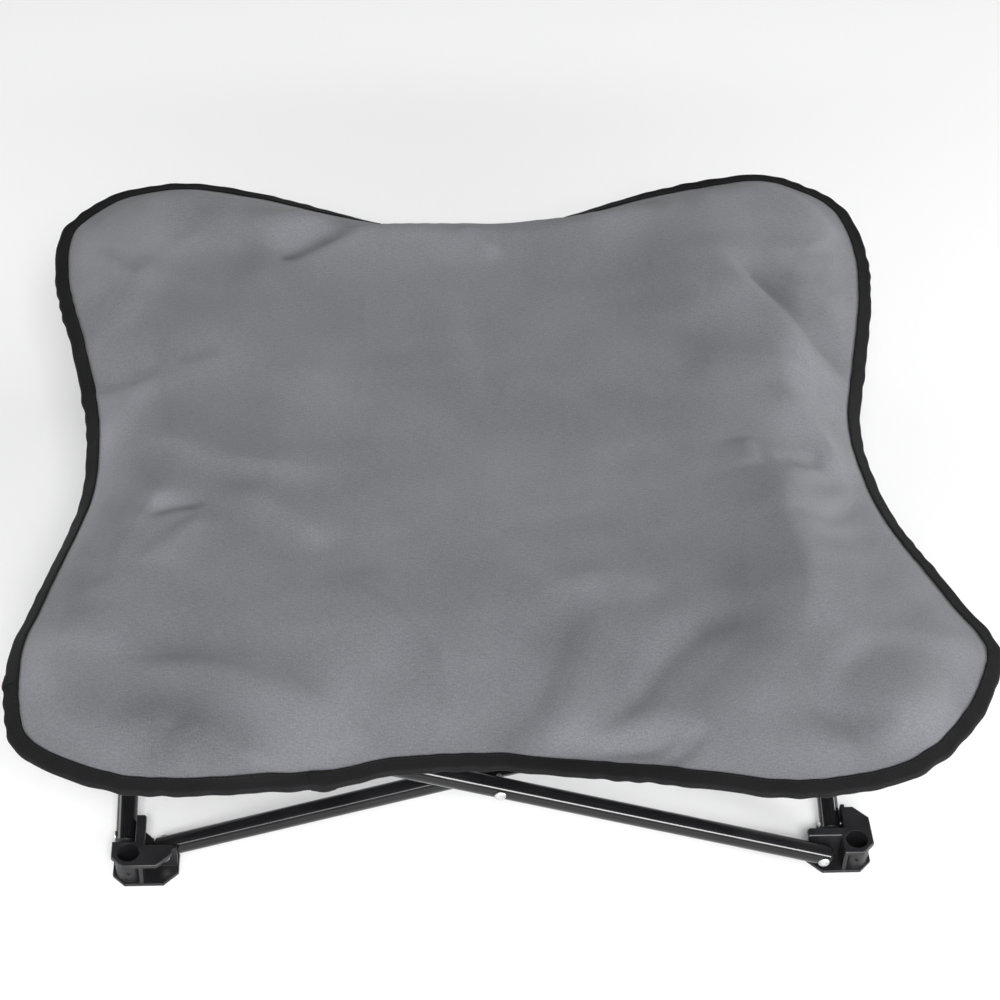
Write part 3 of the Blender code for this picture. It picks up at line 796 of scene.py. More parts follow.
def fold_profile(plan, line, left, right):
    """1 on a line and 0 beyond its width, fading to the line's two ends, and 1 on its left."""
    # How round the crest is, the share of the length that fades out at each end, and how wide left
    # blends into right, for the height and for the painted light and shade.
    crest, end_share, blend, painted_shade_blend = 0.16, 0.3, 0.003, 0.002
    start, way = line[:-1], np.diff(line, axis=0)
    length = np.linalg.norm(way, axis=1)
    done = np.concatenate([[0.0], np.cumsum(length)])
    reach = max(left, right)
    low, high = line.min(0) - reach, line.max(0) + reach
    close = np.flatnonzero(np.all((plan > low) & (plan < high), axis=1))
    result, on_left = np.zeros(len(plan)), np.zeros(len(plan))
    if not len(close):
        return result, on_left
    offset = plan[close, None, :] - start[None, :, :]
    share = np.clip(np.sum(offset * way, 2) / np.maximum(length**2, 1e-12), 0, 1)
    away = offset - share[:, :, None] * way[None, :, :]
    apart = np.linalg.norm(away, axis=2)
    best = np.argmin(apart, 1)
    rows = np.arange(len(close))
    apart = apart[rows, best]
    side = way[best, 0] * away[rows, best, 1] - way[best, 1] * away[rows, best, 0]
    leftward = smooth_step(0.5 + 0.5 * side / (length[best] * np.maximum(apart, blend)))
    width = right + (left - right) * leftward
    along = (done[best] + share[rows, best] * length[best]) / done[-1]
    fade = smooth_step(np.minimum(along, 1 - along) / end_share)
    far = (np.sqrt((apart / width) ** 2 + crest**2) - crest) / (math.sqrt(1 + crest**2) - crest)
    result[close] = fade * np.clip(1 - far, 0, 1) ** 2
    on_left[close] = smooth_step(0.5 + 0.5 * side / (length[best] * painted_shade_blend))
    return result, on_left


def plain_height(plan, loop):
    """Height of the panel's mid surface without folds, and the distance from its edge."""
    height = rest_height(plan)
    droop, (steep, band) = edge_droop(loop), bend(loop)
    apart = np.zeros(len(plan))
    at_once = 4000
    for start in range(0, len(plan), at_once):
        part = slice(start, start + at_once)
        away = np.linalg.norm(plan[part, None, :] - loop[None, :, :], axis=2)
        near = np.argmin(away, 1)
        apart[part] = away[np.arange(len(near)), near]
        share = np.clip(1 - apart[part] / band[near], 0, 1)
        k = steep[near]
        fall = (3 - 2 * k) * share**2 + (2 * k - 2) * share**3
        height[part] -= droop[near] * fall * rising(from_post(plan[part]), 0.012, 0.05)
    return height, apart


def from_post(plan):
    """Distance of plan points from the nearest corner post."""
    return np.hypot(np.abs(plan[:, 0]) - POST_XY, np.abs(plan[:, 1]) - POST_XY)


def folded_height(plan, apart):
    """Height that the folds add, less of it at a post and at the edge that the tape holds."""
    by_edge = rising(apart, 0.0, 0.03, least=0.25)
    return relief(plan) * by_edge * rising(from_post(plan), 0.015, 0.03, least=0.3)


def panel_height(plan, loop):
    """Height of the panel's mid surface at plan points, and their distance from its edge."""
    height, apart = plain_height(plan, loop)
    return height + folded_height(plan, apart), apart


def half_thickness(apart):
    """Half the padding's thickness, by the distance from the edge."""
    sizes = settings("panel")
    thickens_over = 0.05
    return (sizes.edge + (sizes.thickness - sizes.edge) * smooth_step(apart / thickens_over)) / 2


def hanging_place(plan):
    """Where the mid surface hangs with the frame folded, as seen from the front left hub."""
    fold = settings("folded")
    # A flap starts at a share of the way out at the middle of a side and at a post at its ends. The
    # lengths say over what it stands off, grows pleats and turns down.
    rim_share, off_over, pleats_over, round_over = 0.3, 0.06, 0.12, 0.035
    pleats_a_side, sway, sways = 2.5, 0.9, 9.0
    gap = POST_XY - fold.inward / 2
    u, v = plan[:, 0] / POST_XY, plan[:, 1] / POST_XY
    far = np.maximum(np.maximum(np.abs(u), np.abs(v)), 1e-4)
    sideways = np.abs(u) > np.abs(v)
    turn = np.where(sideways, v, u) / far
    rim = rim_share + (1 - rim_share) * turn**2
    inside = np.minimum(far / rim, 1.0)
    beyond = np.maximum(far - rim, 0.0) * POST_XY
    drawn = gap * np.sin(inside * math.pi / 2) ** 0.7
    proud = fold.stand_off * smooth_step(beyond / off_over)
    pleats = np.cos(2 * math.pi * pleats_a_side * turn + sway * np.sin(beyond * sways))
    pleats = pleats * (1 - turn**2) ** 0.5
    reach = drawn + proud + fold.pleat * pleats * smooth_step(beyond / pleats_over)
    across = turn * (drawn + proud * np.abs(turn) ** 3)
    crumple = (1 + np.cos(9 * u + 1) * np.cos(8 * v)) / 2
    down = fold.pouch * (1 - inside**2) * crumple
    down = down + np.maximum(beyond - round_over * np.tanh(beyond / round_over), 0.0)
    x = np.where(sideways, np.sign(u) * reach, across)
    y = np.where(sideways, across, np.sign(v) * reach)
    middle, top = -fold.inward / 2, PANEL_TOP - settings("panel").thickness / 2
    return np.column_stack([x + middle, y + middle, top - down])


def folded_place(points, loop):
    """Where points of the open panel go with the frame folded."""
    fold = settings("folded")
    plan, step = points[:, :2], 0.002
    ahead = hanging_place(plan + [step, 0]) - hanging_place(plan - [step, 0])
    aside = hanging_place(plan + [0, step]) - hanging_place(plan - [0, step])
    normal = np.cross(ahead, aside)
    normal /= np.maximum(np.linalg.norm(normal, axis=1), 1e-12)[:, None]
    proud = points[:, 2] - plain_height(plan, loop)[0]
    hung = hanging_place(plan) + normal * proud[:, None]
    carried = points.copy()
    carried[:, :2] -= fold.inward * (plan > 0)
    stiff = 1 - rising(from_post(plan), 0.054, 0.075)
    return hung + (carried - hung) * stiff[:, None]


def follow_folding(made, loop):
    """Hooks that draw a sewn piece in with the other posts and let it hang as the frame folds."""
    fold = settings("folded")
    points = values_of(made.data.vertices, "co")
    moved = points - folded_place(points, loop)
    pulls = (
        ("upper_hub_front_right", 0, fold.inward), ("upper_hub_back_left", 1, fold.inward),
        ("lower_hub_front_left", 2, fold.upward),
    )
    for body, axis, travel in pulls:
        group = made.vertex_groups.new(name=body)
        for index, share in enumerate(np.clip(moved[:, axis] / travel, 0, 1)):
            group.add([index], float(share), "REPLACE")
        hook = made.modifiers.new(body, "HOOK")
        hook.object = frame["bodies"][body]
        hook.vertex_group = body
        hook.falloff_type = "NONE"


def panel_grid(per_side, rings):
    """Plan points and faces: a square block in the middle and rings from it to the edge."""
    half = 0.235
    step = np.linspace(-half, half, per_side + 1)
    block = np.stack(np.meshgrid(step, step, indexing="ij"), 2).reshape(-1, 2)
    n = per_side + 1
    faces = [
        (i * n + j, (i + 1) * n + j, (i + 1) * n + j + 1, i * n + j + 1)
        for i in range(per_side) for j in range(per_side)
    ]
    rim = [(0, j) for j in range(per_side)]
    rim += [(i, per_side) for i in range(per_side)]
    rim += [(per_side, j) for j in range(per_side, 0, -1)]
    rim += [(i, 0) for i in range(per_side, 0, -1)]
    inner = [i * n + j for i, j in rim]
    outer = side_by_side(edge_curve(FINE_EDGE_STEPS), per_side)
    points = [block]
    before = inner
    for ring in range(1, rings + 1):
        share = ring / rings
        points.append(block[inner] * (1 - share) + outer * share)
        first = n * n + (ring - 1) * len(inner)
        now = list(range(first, first + len(inner)))
        for k in range(len(now)):
            m = (k + 1) % len(now)
            faces.append((before[k], before[m], now[m], now[k]))
        before = now
    return np.vstack(points), faces, before


def side_by_side(loop, per_side):
    """The loop again, from the front left corner clockwise, with as many points on each side."""
    angle = np.arctan2(loop[:, 1], loop[:, 0])
    cuts = [int(np.argmin(np.abs(angle - math.radians(a)))) for a in (-135, 135, 45, -45)]
    sides = []
    for start, end in zip(cuts, cuts[1:] + cuts[:1]):
        count = (end - start) % len(loop)
        at = (start + np.linspace(0, count, per_side, endpoint=False)) % len(loop)
        low = np.floor(at).astype(int)
        share = (at - low)[:, None]
        sides.append(loop[low] * (1 - share) + loop[(low + 1) % len(loop)] * share)
    return np.vstack(sides)


def place_object(name, data):
    """A new object in the scene."""
    made = bpy.data.objects.new(name, data)
    bpy.context.scene.collection.objects.link(made)
    return made


def shade_smooth(mesh):
    mesh.polygons.foreach_set("use_smooth", [True] * len(mesh.polygons))


def mesh_object(name, points, faces):
    mesh = bpy.data.meshes.new(name)
    mesh.from_pydata([tuple(p) for p in points], [], faces)
    mesh.validate()
    shade_smooth(mesh)
    return place_object(name, mesh)


def plan_uv(made):
    """A UV map in metres from the plan, so the weave keeps its size."""
    mesh = made.data
    layer = mesh.uv_layers.new(name="plan")
    where = np.zeros(len(mesh.loops), np.int32)
    mesh.loops.foreach_get("vertex_index", where)
    flat = values_of(mesh.vertices, "co")[where][:, :2]
    layer.data.foreach_set("uv", flat.ravel())


def values_of(items, name):
    """Rows of three numbers from a mesh's vertices."""
    values = np.zeros(len(items) * 3)
    items.foreach_get(name, values)
    return values.reshape(-1, 3)


def plain_mesh(made):
    """Turns an object's modifiers into its mesh."""
    graph = bpy.context.evaluated_depsgraph_get()
    mesh = bpy.data.meshes.new_from_object(made.evaluated_get(graph), depsgraph=graph)
    mesh.name = made.name
    made.modifiers.clear()
    made.data = mesh
    return made


def finish_piece(made, material, body, slot, *nodes):
    made.data.materials.clear()
    made.data.materials.append(material)
    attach(made, body)
    if nodes:
        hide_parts(*nodes)
    return made


def pucker_waves():
    """Small uneven waves along the tape, once round."""
    walked = np.linspace(0, 2 * math.pi, EDGE_STEPS, endpoint=False)
    waves = np.sin(131 * walked + 2.2 * np.sin(17 * walked)) * (0.6 + 0.4 * np.sin(23 * walked))
    return waves + 0.6 * np.sin(67 * walked + 1.5 * np.sin(11 * walked))


def tape_rows(offsets):
    """Rows of points along the edge, each set in from it: mid point, up, out and half thickness."""
    tape = settings("tape")
    in_plan, step = 0.85, 0.002
    sewn_from, sewn_pucker = -0.004, 0.4
    join_from, join_step, join_reach = -0.006, 0.0009, 0.008
    loop = edge_curve(EDGE_STEPS)
    normal = edge_normals(loop)
    side = np.column_stack([-normal[:, 1], normal[:, 0], np.zeros(EDGE_STEPS)])
    waves = pucker_waves()
    rows = []
    for offset in offsets:
        plan = loop + normal * (offset * in_plan)
        both, _ = panel_height(np.vstack([plan, plan - normal * step]), loop)
        height = both[:EDGE_STEPS]
        out = np.column_stack([normal, (height - both[EDGE_STEPS:]) / step])
        out /= np.linalg.norm(out, axis=1)[:, None]
        up = np.cross(out, side)
        shift = out * (waves * tape.pucker)[:, None] * (sewn_pucker if offset < sewn_from else 1.0)
        if offset > join_from:
            for spot, reach in TAPE_JOINS:
                far = np.linalg.norm(loop - np.array(spot) / MM_PER_M, axis=1)
                bulge = join_step * reach * np.exp(-((far / join_reach) ** 2))
                shift = shift + out * bulge[:, None]
        half = np.full((EDGE_STEPS, 1), half_thickness(abs(offset)))
        rows.append((np.column_stack([plan, height]) + shift, up, out, half))
    return rows


def new_forms(name, inputs):
    """An empty tree of geometry nodes with its sockets: inputs as (name, type, default) rows."""
    tree = bpy.data.node_groups.new(name, "GeometryNodeTree")
    tree.is_modifier = True
    tree.interface.new_socket("Geometry", in_out="INPUT", socket_type="NodeSocketGeometry")
    for label, kind, default in inputs:
        socket = tree.interface.new_socket(label, in_out="INPUT", socket_type=kind)
        socket.default_value = default
    tree.interface.new_socket("Material", in_out="INPUT", socket_type="NodeSocketMaterial")
    tree.interface.new_socket("Geometry", in_out="OUTPUT", socket_type="NodeSocketGeometry")
    return tree, tree.nodes.new("NodeGroupInput"), tree.nodes.new("NodeGroupOutput")


def end_forms(tree, source, sink, forms):
    """Makes the placed forms real and gives them the material."""
    real = node(tree, "GeometryNodeRealizeInstances", [("Geometry", forms)])
    done = node(
        tree, "GeometryNodeSetMaterial",
        [("Geometry", real.outputs["Geometry"]), ("Material", source.outputs["Material"])],
    )
    tree.links.new(done.outputs["Geometry"], sink.inputs["Geometry"])
    return tree


def turned_to(tree, vector, axis):
    """A rotation that turns an axis to a vector."""
    made = node(tree, "FunctionNodeAlignRotationToVector", [("Vector", vector)], axis=axis)
    return made.outputs["Rotation"]


def own_value(tree, name, kind):
    """What each point says of itself under a name."""
    made = node(tree, "GeometryNodeInputNamedAttribute", [("Name", name)], data_type=kind)
    return made.outputs["Attribute"]


def stitch_group():
    """Geometry nodes that lay stitches end to end along a line."""
    tree, source, sink = new_forms(
        "stitch_line",
        [("Pitch", "NodeSocketFloat", 0.004), ("Length", "NodeSocketFloat", 0.003),
         ("Thread", "NodeSocketFloat", 0.0007)],
    )
    curve = node(tree, "GeometryNodeMeshToCurve", [("Mesh", source.outputs["Geometry"])])
    steps = node(
        tree, "GeometryNodeResampleCurve",
        [("Curve", curve.outputs["Curve"]), ("Length", source.outputs["Pitch"])], mode="LENGTH",
    )
    ball = node(
        tree, "GeometryNodeMeshUVSphere", [("Segments", 6), ("Rings", 4), ("Radius", 0.5)]
    )
    thread = source.outputs["Thread"]
    size = node(
        tree, "ShaderNodeCombineXYZ",
        [("X", source.outputs["Length"]), ("Y", thread), ("Z", thread)],
    )
    tangent = tree.nodes.new("GeometryNodeInputTangent")
    placed = node(
        tree, "GeometryNodeInstanceOnPoints",
        [("Points", steps.outputs["Curve"]), ("Instance", ball.outputs["Mesh"]),
         ("Rotation", turned_to(tree, tangent.outputs["Tangent"], "X")),
         ("Scale", size.outputs["Vector"])],
    )
    return end_forms(tree, source, sink, placed.outputs["Instances"])


def screw_group():
    """Geometry nodes that set a cross-headed screw at each point, facing along its aim."""
    tree, source, sink = new_forms(
        "cross_screws",
        [("Head", "NodeSocketFloat", 0.0032), ("Depth", "NodeSocketFloat", 0.0016),
         ("Slot", "NodeSocketFloat", 0.0006)],
    )
    slot_share, slot_rise = 0.68, 0.6
    width, depth = source.outputs["Head"], source.outputs["Depth"]
    head = node(
        tree, "GeometryNodeMeshCylinder",
        [("Vertices", 20), ("Radius", maths(tree, "MULTIPLY", width, 0.5)), ("Depth", depth)],
    )
    bar_size = node(
        tree, "ShaderNodeCombineXYZ",
        [("X", maths(tree, "MULTIPLY", width, slot_share)), ("Y", source.outputs["Slot"]),
         ("Z", depth)],
    )
    bar = node(tree, "GeometryNodeMeshCube", [("Size", bar_size.outputs["Vector"])])
    raised = node(
        tree, "ShaderNodeCombineXYZ", [("Z", maths(tree, "MULTIPLY", depth, slot_rise))]
    )
    one = node(
        tree, "GeometryNodeTransform",
        [("Geometry", bar.outputs["Mesh"]), ("Translation", raised.outputs["Vector"])],
    )
    other = node(
        tree, "GeometryNodeTransform",
        [("Geometry", one.outputs["Geometry"]), ("Rotation", (0, 0, math.pi / 2))],
    )
    cut = node(
        tree, "GeometryNodeMeshBoolean", [("Mesh 1", head.outputs["Mesh"])],
        operation="DIFFERENCE",
    )
    for slot in (one, other):
        tree.links.new(slot.outputs["Geometry"], cut.inputs["Mesh 2"])
    placed = node(
        tree, "GeometryNodeInstanceOnPoints",
        [("Points", source.outputs["Geometry"]), ("Instance", cut.outputs["Mesh"]),
         ("Rotation", turned_to(tree, own_value(tree, "aim", "FLOAT_VECTOR"), "Z"))],
    )
    return end_forms(tree, source, sink, placed.outputs["Instances"])


def rivet_group():
    """Geometry nodes that set domed heads and round shanks at points, by each one's aim and size."""
    tree, source, sink = new_forms("rivet_forms", [("Segments", "NodeSocketInt", 32)])
    turns = source.outputs["Segments"]
    dome = node(
        tree, "GeometryNodeMeshUVSphere", [("Segments", turns), ("Rings", 14), ("Radius", 1.0)]
    )
    shank = node(
        tree, "GeometryNodeMeshCylinder", [("Vertices", turns), ("Radius", 1.0), ("Depth", 1.0)]
    )
    turn = turned_to(tree, own_value(tree, "aim", "FLOAT_VECTOR"), "Z")
    size = own_value(tree, "size", "FLOAT_VECTOR")
    long = own_value(tree, "shank", "BOOLEAN")
    short = node(tree, "FunctionNodeBooleanMath", [(0, long)], operation="NOT").outputs[0]
    both = tree.nodes.new("GeometryNodeJoinGeometry")
    for chosen, form in ((short, dome), (long, shank)):
        placed = node(
            tree, "GeometryNodeInstanceOnPoints",
            [("Points", source.outputs["Geometry"]), ("Selection", chosen),
             ("Instance", form.outputs["Mesh"]), ("Rotation", turn), ("Scale", size)],
        )
        tree.links.new(placed.outputs["Instances"], both.inputs["Geometry"])
    return end_forms(tree, source, sink, both.outputs["Geometry"])


def rivet_points(node_name):
    """Where a rivet's two domes and its shank go: rows of (place, aim, size, shank)."""
    points = values_of(frame["nodes"][node_name].data.vertices, "co")
    head_depth, wide_head, widest_shank = 0.0024, 0.0050, 0.0030
    wide_rise, small_rise = 0.0022, 0.0018
    low, high = points.min(0), points.max(0)
    middle = (low + high) / 2
    axis = int(np.argmax(high - low))
    away = np.linalg.norm(np.delete(points - middle, axis, 1), axis=1)
    along = points[:, axis] - middle[axis]
    half = (high[axis] - low[axis]) / 2
    aim = np.eye(3)[axis]
    ends, rows = [], []
    for side in (-1, 1):
        near = away[np.abs(along - side * half) < head_depth].max()
        rise = wide_rise if near > wide_head else small_rise
        ends.append(side * (half - rise))
        rows.append((middle + aim * ends[-1], aim * side, (near, near, rise), False))
    shank = away[away < widest_shank].max()
    centre = middle + aim * (ends[0] + ends[1]) / 2
    rows.append((centre, aim, (shank, shank, ends[1] - ends[0]), True))
    return rows


def set_vectors(mesh, label, rows):
    """Gives each point of a mesh a vector of its own."""
    values = mesh.attributes.new(label, "FLOAT_VECTOR", "POINT")
    values.data.foreach_set("vector", np.array(rows, float).ravel())


def rivets_at(name, rows, material):
    """Rivets from rows of (place, aim, size, shank), as one plain mesh."""
    places, aims, sizes, shanks = zip(*rows)
    mesh = bpy.data.meshes.new(name)
    mesh.from_pydata([tuple(place) for place in places], [], [])
    set_vectors(mesh, "aim", aims)
    set_vectors(mesh, "size", sizes)
    shank = mesh.attributes.new("shank", "BOOLEAN", "POINT")
    shank.data.foreach_set("value", list(shanks))
    made = place_object(name, mesh)
    run_group(made, "rivet", {"Segments": 32, "Material": material})
    shade_smooth(made.data)
    made.data.set_sharp_from_angle(angle=SHARP)
    return made


def screws_at(name, spots, aims, head, material):
    """Screws at the given points, as one plain mesh."""
    mesh = bpy.data.meshes.new(name)
    mesh.from_pydata(spots, [], [])
    set_vectors(mesh, "aim", aims)
    made = place_object(name, mesh)
    values = {"Head": head, "Depth": head / 2, "Slot": head / 5, "Material": material}
    run_group(made, "screw", values)
    return made


def run_group(made, group, values):
    """Applies a geometry node group to an object with its inputs set."""
    modifier = made.modifiers.new(group, "NODES")
    modifier.node_group = groups[group]
    for item in groups[group].interface.items_tree:
        if item.in_out == "INPUT" and item.name in values:
            modifier[item.identifier] = values[item.name]
    plain_mesh(made)


def stitch_along(name, points, pitch, thread, material):
    """A closed line of stitches as a plain mesh."""
    count, length_share = len(points), 0.84
    mesh = bpy.data.meshes.new(name)
    edges = [(i, (i + 1) % count) for i in range(count)]
    mesh.from_pydata([tuple(p) for p in points], edges, [])
    made = place_object(name, mesh)
    values = {
        "Pitch": pitch, "Length": pitch * length_share, "Thread": thread, "Material": material,
    }
    run_group(made, "stitch", values)
    shade_smooth(made.data)
    return made


# Operators


class DOGBED_OT_panel(bpy.types.Operator):
    """Makes the padded panel and lets its cover settle over the padding."""

    bl_idname = "dogbed.panel"
    bl_label = "Padded Panel"

    def execute(self, context):
        plan, faces, rim = panel_grid(per_side=60, rings=18)
        loop = edge_curve(EDGE_STEPS)
        middle, apart = plain_height(plan, loop)
        sheet = mesh_object("middle", np.column_stack([plan, middle]), faces)
        up = values_of(sheet.data.vertices, "normal")
        bpy.data.objects.remove(sheet)
        up *= np.sign(up[:, 2:])
        half = (half_thickness(apart) * rising(apart, 0.006, 0.0065, least=0.4))[:, None]
        top = np.column_stack([plan, middle]) + up * half
        bottom = np.column_stack([plan, middle]) - up * half
        count = len(plan)
        under = [tuple(i + count for i in reversed(face)) for face in faces]
        wall = [(a, b, b + count, a + count) for a, b in zip(rim, rim[1:] + rim[:1])]
        made = mesh_object("panel_cover", np.vstack([top, bottom]), faces + under + wall)
        outward(made)
        self.settle(context.scene, made, np.concatenate([apart, apart]))
        made.modifiers.new("finer", "SUBSURF").levels = 1
        plain_mesh(made)
        points = values_of(made.data.vertices, "co")
        _, apart = plain_height(points[:, :2], loop)
        points[:, 2] += folded_height(points[:, :2], apart)
        made.data.vertices.foreach_set("co", points.ravel())
        plan_uv(made)
        # Painted light and shade of the folds, kept on the cover for its colour.
        painted_shade = made.data.attributes.new("painted_shade", "FLOAT", "POINT")
        painted_shade.data.foreach_set("value", painted_shade_tone(points[:, :2]))
        finish_piece(made, cover_material(), PANEL_BODY, "grey_fabric", "pad")
        follow_folding(made, loop)
        return {"FINISHED"}

    def settle(self, scene, made, apart):
        """Cloth simulation: the padding presses on the cover, held at its edge and posts."""
        sizes = settings("panel")
        last_step, firmest_share = 20, 0.96
        before = values_of(made.data.vertices, "co")
        loose = rising(apart, 0.012, 0.03) * rising(from_post(before), 0.02, 0.04)
        held = made.vertex_groups.new(name="held")
        for index, share in enumerate(1 - firmest_share * loose):
            held.add([index], float(share), "REPLACE")
        cloth = made.modifiers.new("settle", "CLOTH")
        cloth.collision_settings.use_collision = False
        cloth.collision_settings.use_self_collision = False
        rules = cloth.settings
        rules.quality = 5
        rules.mass = 0.2
        rules.vertex_group_mass = "held"
        rules.pin_stiffness = 0.6
        rules.tension_stiffness = 12.0
        rules.compression_stiffness = 6.0
        rules.shear_stiffness = 4.0
        rules.bending_stiffness = 0.3
        rules.shrink_min = -0.012
        rules.use_pressure = True
        rules.uniform_pressure_force = sizes.pressure
        rules.effector_weights.gravity = 0.0
        for step in range(1, last_step + 1):
            scene.frame_set(step)
        graph = bpy.context.evaluated_depsgraph_get()
        settled = values_of(made.evaluated_get(graph).data.vertices, "co")
        made.modifiers.clear()
        made.vertex_groups.clear()
        scene.frame_set(1)
        moved = settled - before
        length = np.linalg.norm(moved, axis=1)
        moved *= np.minimum(1.0, sizes.travel / np.maximum(length, 1e-9))[:, None]
        placed = before + moved * rising(apart, 0.0, 0.03)[:, None]
        made.data.vertices.foreach_set("co", placed.ravel())


def tape_band(name, rows, wall, closed):
    """Tape folded round the panel's edge: all the way round, or a short piece with two cut ends."""
    thinning, lining_gap, fold_gap, fold_share, fold_cuts = 0.0003, 0.0002, 0.0004, 0.8, 9
    tops = [mid + up * (half + wall) for mid, up, _, half in rows]
    unders = [mid - up * (half + wall) for mid, up, _, half in rows]
    tops[0] = tops[0] - rows[0][1] * thinning
    unders[0] = unders[0] + rows[0][1] * thinning
    lining = [mid + up * (half + lining_gap) for mid, up, _, half in rows]
    lining_under = [mid - up * (half + lining_gap) for mid, up, _, half in rows]
    edge, up, out, half = rows[-1]
    thick = half + wall
    fold = [
        edge + up * thick * math.sin(t) + out * (fold_gap + fold_share * thick * math.cos(t))
        for t in np.linspace(math.pi / 2, -math.pi / 2, fold_cuts)[1:-1]
    ]
    section = [*tops, *fold, *reversed(unders), *lining_under, *reversed(lining)]
    n, m = len(edge), len(section)
    faces = []
    for j in range(m):
        here, beside = j * n, (j + 1) % m * n
        for i in range(n if closed else n - 1):
            k = (i + 1) % n
            faces.append((here + i, here + k, beside + k, beside + i))
    if not closed:
        faces.append(tuple(j * n for j in range(m)))
        faces.append(tuple(j * n + n - 1 for j in reversed(range(m))))
    made = mesh_object(name, np.vstack(section), faces)
    outward(made)
    made.data.set_sharp_from_angle(angle=SHARP)
    plan_uv(made)
    return made


class DOGBED_OT_tape(bpy.types.Operator):
    """Makes the tape that binds the panel's edge."""

    bl_idname = "dogbed.tape"
    bl_label = "Edge Tape"

    def execute(self, context):
        tape = settings("tape")
        lip, join_wall = 0.0006, 0.0007
        wide = tape.width
        rows = tape_rows([-wide, -wide + lip, -0.6 * wide, -0.3 * wide, 0.0])
        material = tape_material()
        loop = edge_curve(EDGE_STEPS)
        made = tape_band("edge_tape", rows, tape.wall, True)
        finish_piece(made, material, PANEL_BODY, "black_tape", "binding")
        follow_folding(made, loop)
        for k, (spot, reach) in enumerate(TAPE_JOINS):
            near = int(np.argmin(np.linalg.norm(loop - np.array(spot) / MM_PER_M, axis=1)))
            picked = [(near + i) % len(loop) for i in range(-reach, reach + 1)]
            part = [tuple(values[picked] for values in row) for row in rows]
            join = tape_band(f"tape_join_{k + 1}", part, tape.wall + join_wall, False)
            finish_piece(join, material, PANEL_BODY, "black_tape")
            follow_folding(join, loop)
        return {"FINISHED"}


class DOGBED_OT_stitching(bpy.types.Operator):
    """Sews the tape to both faces of the panel."""

    bl_idname = "dogbed.stitching"
    bl_label = "Tape Stitching"

    def execute(self, context):
        tape = settings("tape")
        material = thread_material()
        from_lip, proud_share = 0.0024, 0.1
        (mid, up, _, half), = tape_rows([-tape.width + from_lip])
        lift = half + tape.wall + proud_share * tape.thread
        for name, side in (("tape_stitches_top", 1), ("tape_stitches_under", -1)):
            line = mid + side * up * lift
            made = stitch_along(name, line, tape.stitch, tape.thread, material)
            finish_piece(made, material, PANEL_BODY, "black_tape")
            follow_folding(made, edge_curve(EDGE_STEPS))
        return {"FINISHED"}


class DOGBED_OT_pockets(bpy.types.Operator):
    """Makes the sewn pockets that hold the panel on its posts."""

    bl_idname = "dogbed.pockets"
    bl_label = "Corner Pockets"

    def execute(self, context):
        sizes = settings("pocket")
        cloth = tape_material("pocket_cloth")
        thread = thread_material()
        loop = edge_curve(EDGE_STEPS)
        hub_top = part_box(PANEL_BODY)[1].z
        under_panel, over_hub, seam_gap = 0.0003, 0.0004, 0.0004
        pitch, thickness = 0.004, 0.0007
        for corner in CORNERS:
            low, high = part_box("corner_post_" + corner)
            centre = np.array([(low.x + high.x) / 2, (low.y + high.y) / 2])
            rows = []
            for radius, drop in self.profile(sizes, (high.x - low.x) / 2):
                plan = self.ring(centre, radius, rising(radius, 0.02, 0.03))
                height, apart = panel_height(plan, loop)
                under = height - half_thickness(apart) - under_panel
                flat = hub_top + over_hub + sizes.cloth
                rows.append(np.column_stack([plan, under * (1 - drop) + flat * drop]))
            made = sheet_solid("pocket_" + corner, np.stack(rows), sizes.cloth)
            plan_uv(made)
            finish_piece(made, cloth, "upper_hub_" + corner, "black_tape")
            for k, from_rim in enumerate((0.004, 0.010)):
                plan = self.ring(centre, sizes.patch - from_rim, 1.0)
                height, apart = panel_height(plan, loop)
                under = height - half_thickness(apart) - sizes.cloth - seam_gap
                seam = stitch_along(
                    f"pocket_stitches_{k + 1}_{corner}", np.column_stack([plan, under]), pitch,
                    thickness, thread,
                )
                finish_piece(seam, thread, "upper_hub_" + corner, "black_tape")
        return {"FINISHED"}

    def ring(self, centre, radius, squared):
        """Plan points round a post: round where squared is 0, drawn out to four corners where 1."""
        drawn_out = 0.16
        turns = np.linspace(0, 2 * math.pi, 72, endpoint=False)
        way = centre / np.linalg.norm(centre)
        square = np.abs(np.cos(2 * (turns - math.atan2(way[1], way[0])))) ** 1.5
        reach = radius * (1 + drawn_out * square * squared)
        return centre + np.column_stack([np.cos(turns), np.sin(turns)]) * reach[:, None]

    def profile(self, sizes, flange):
        """Rows of (radius, share of the way down to the hub) from the patch's rim inwards."""
        return (
            (sizes.patch, 0.0), (sizes.patch - 0.0006, 0.0), (sizes.patch - 0.005, 0.0),
            (sizes.patch - 0.010, 0.0), (sizes.patch - 0.014, 0.06), (sizes.mouth, 0.55),
            (sizes.mouth - 0.004, 0.9), (flange, 1.0), (0.6 * flange + 0.0044, 1.0),
        )


def sheet_solid(name, rows, thickness):
    """A closed sheet from rings of points, thickened downwards."""
    levels, count = rows.shape[:2]
    above = rows.reshape(-1, 3)
    below = above - np.array([0.0, 0.0, thickness])
    shift = levels * count
    around = [(i, (i + 1) % count) for i in range(count)]
    faces = []
    for j in range(levels - 1):
        for i, k in around:
            a, b = j * count + i, j * count + k
            c, d = b + count, a + count
            faces.append((a, b, c, d))
            faces.append((a + shift, d + shift, c + shift, b + shift))
    for j in (0, levels - 1):
        for i, k in around:
            a, b = j * count + i, j * count + k
            faces.append((a, b, b + shift, a + shift))
    made = mesh_object(name, np.vstack([above, below]), faces)
    outward(made)
    made.data.set_sharp_from_angle(angle=SHARP)
    return made


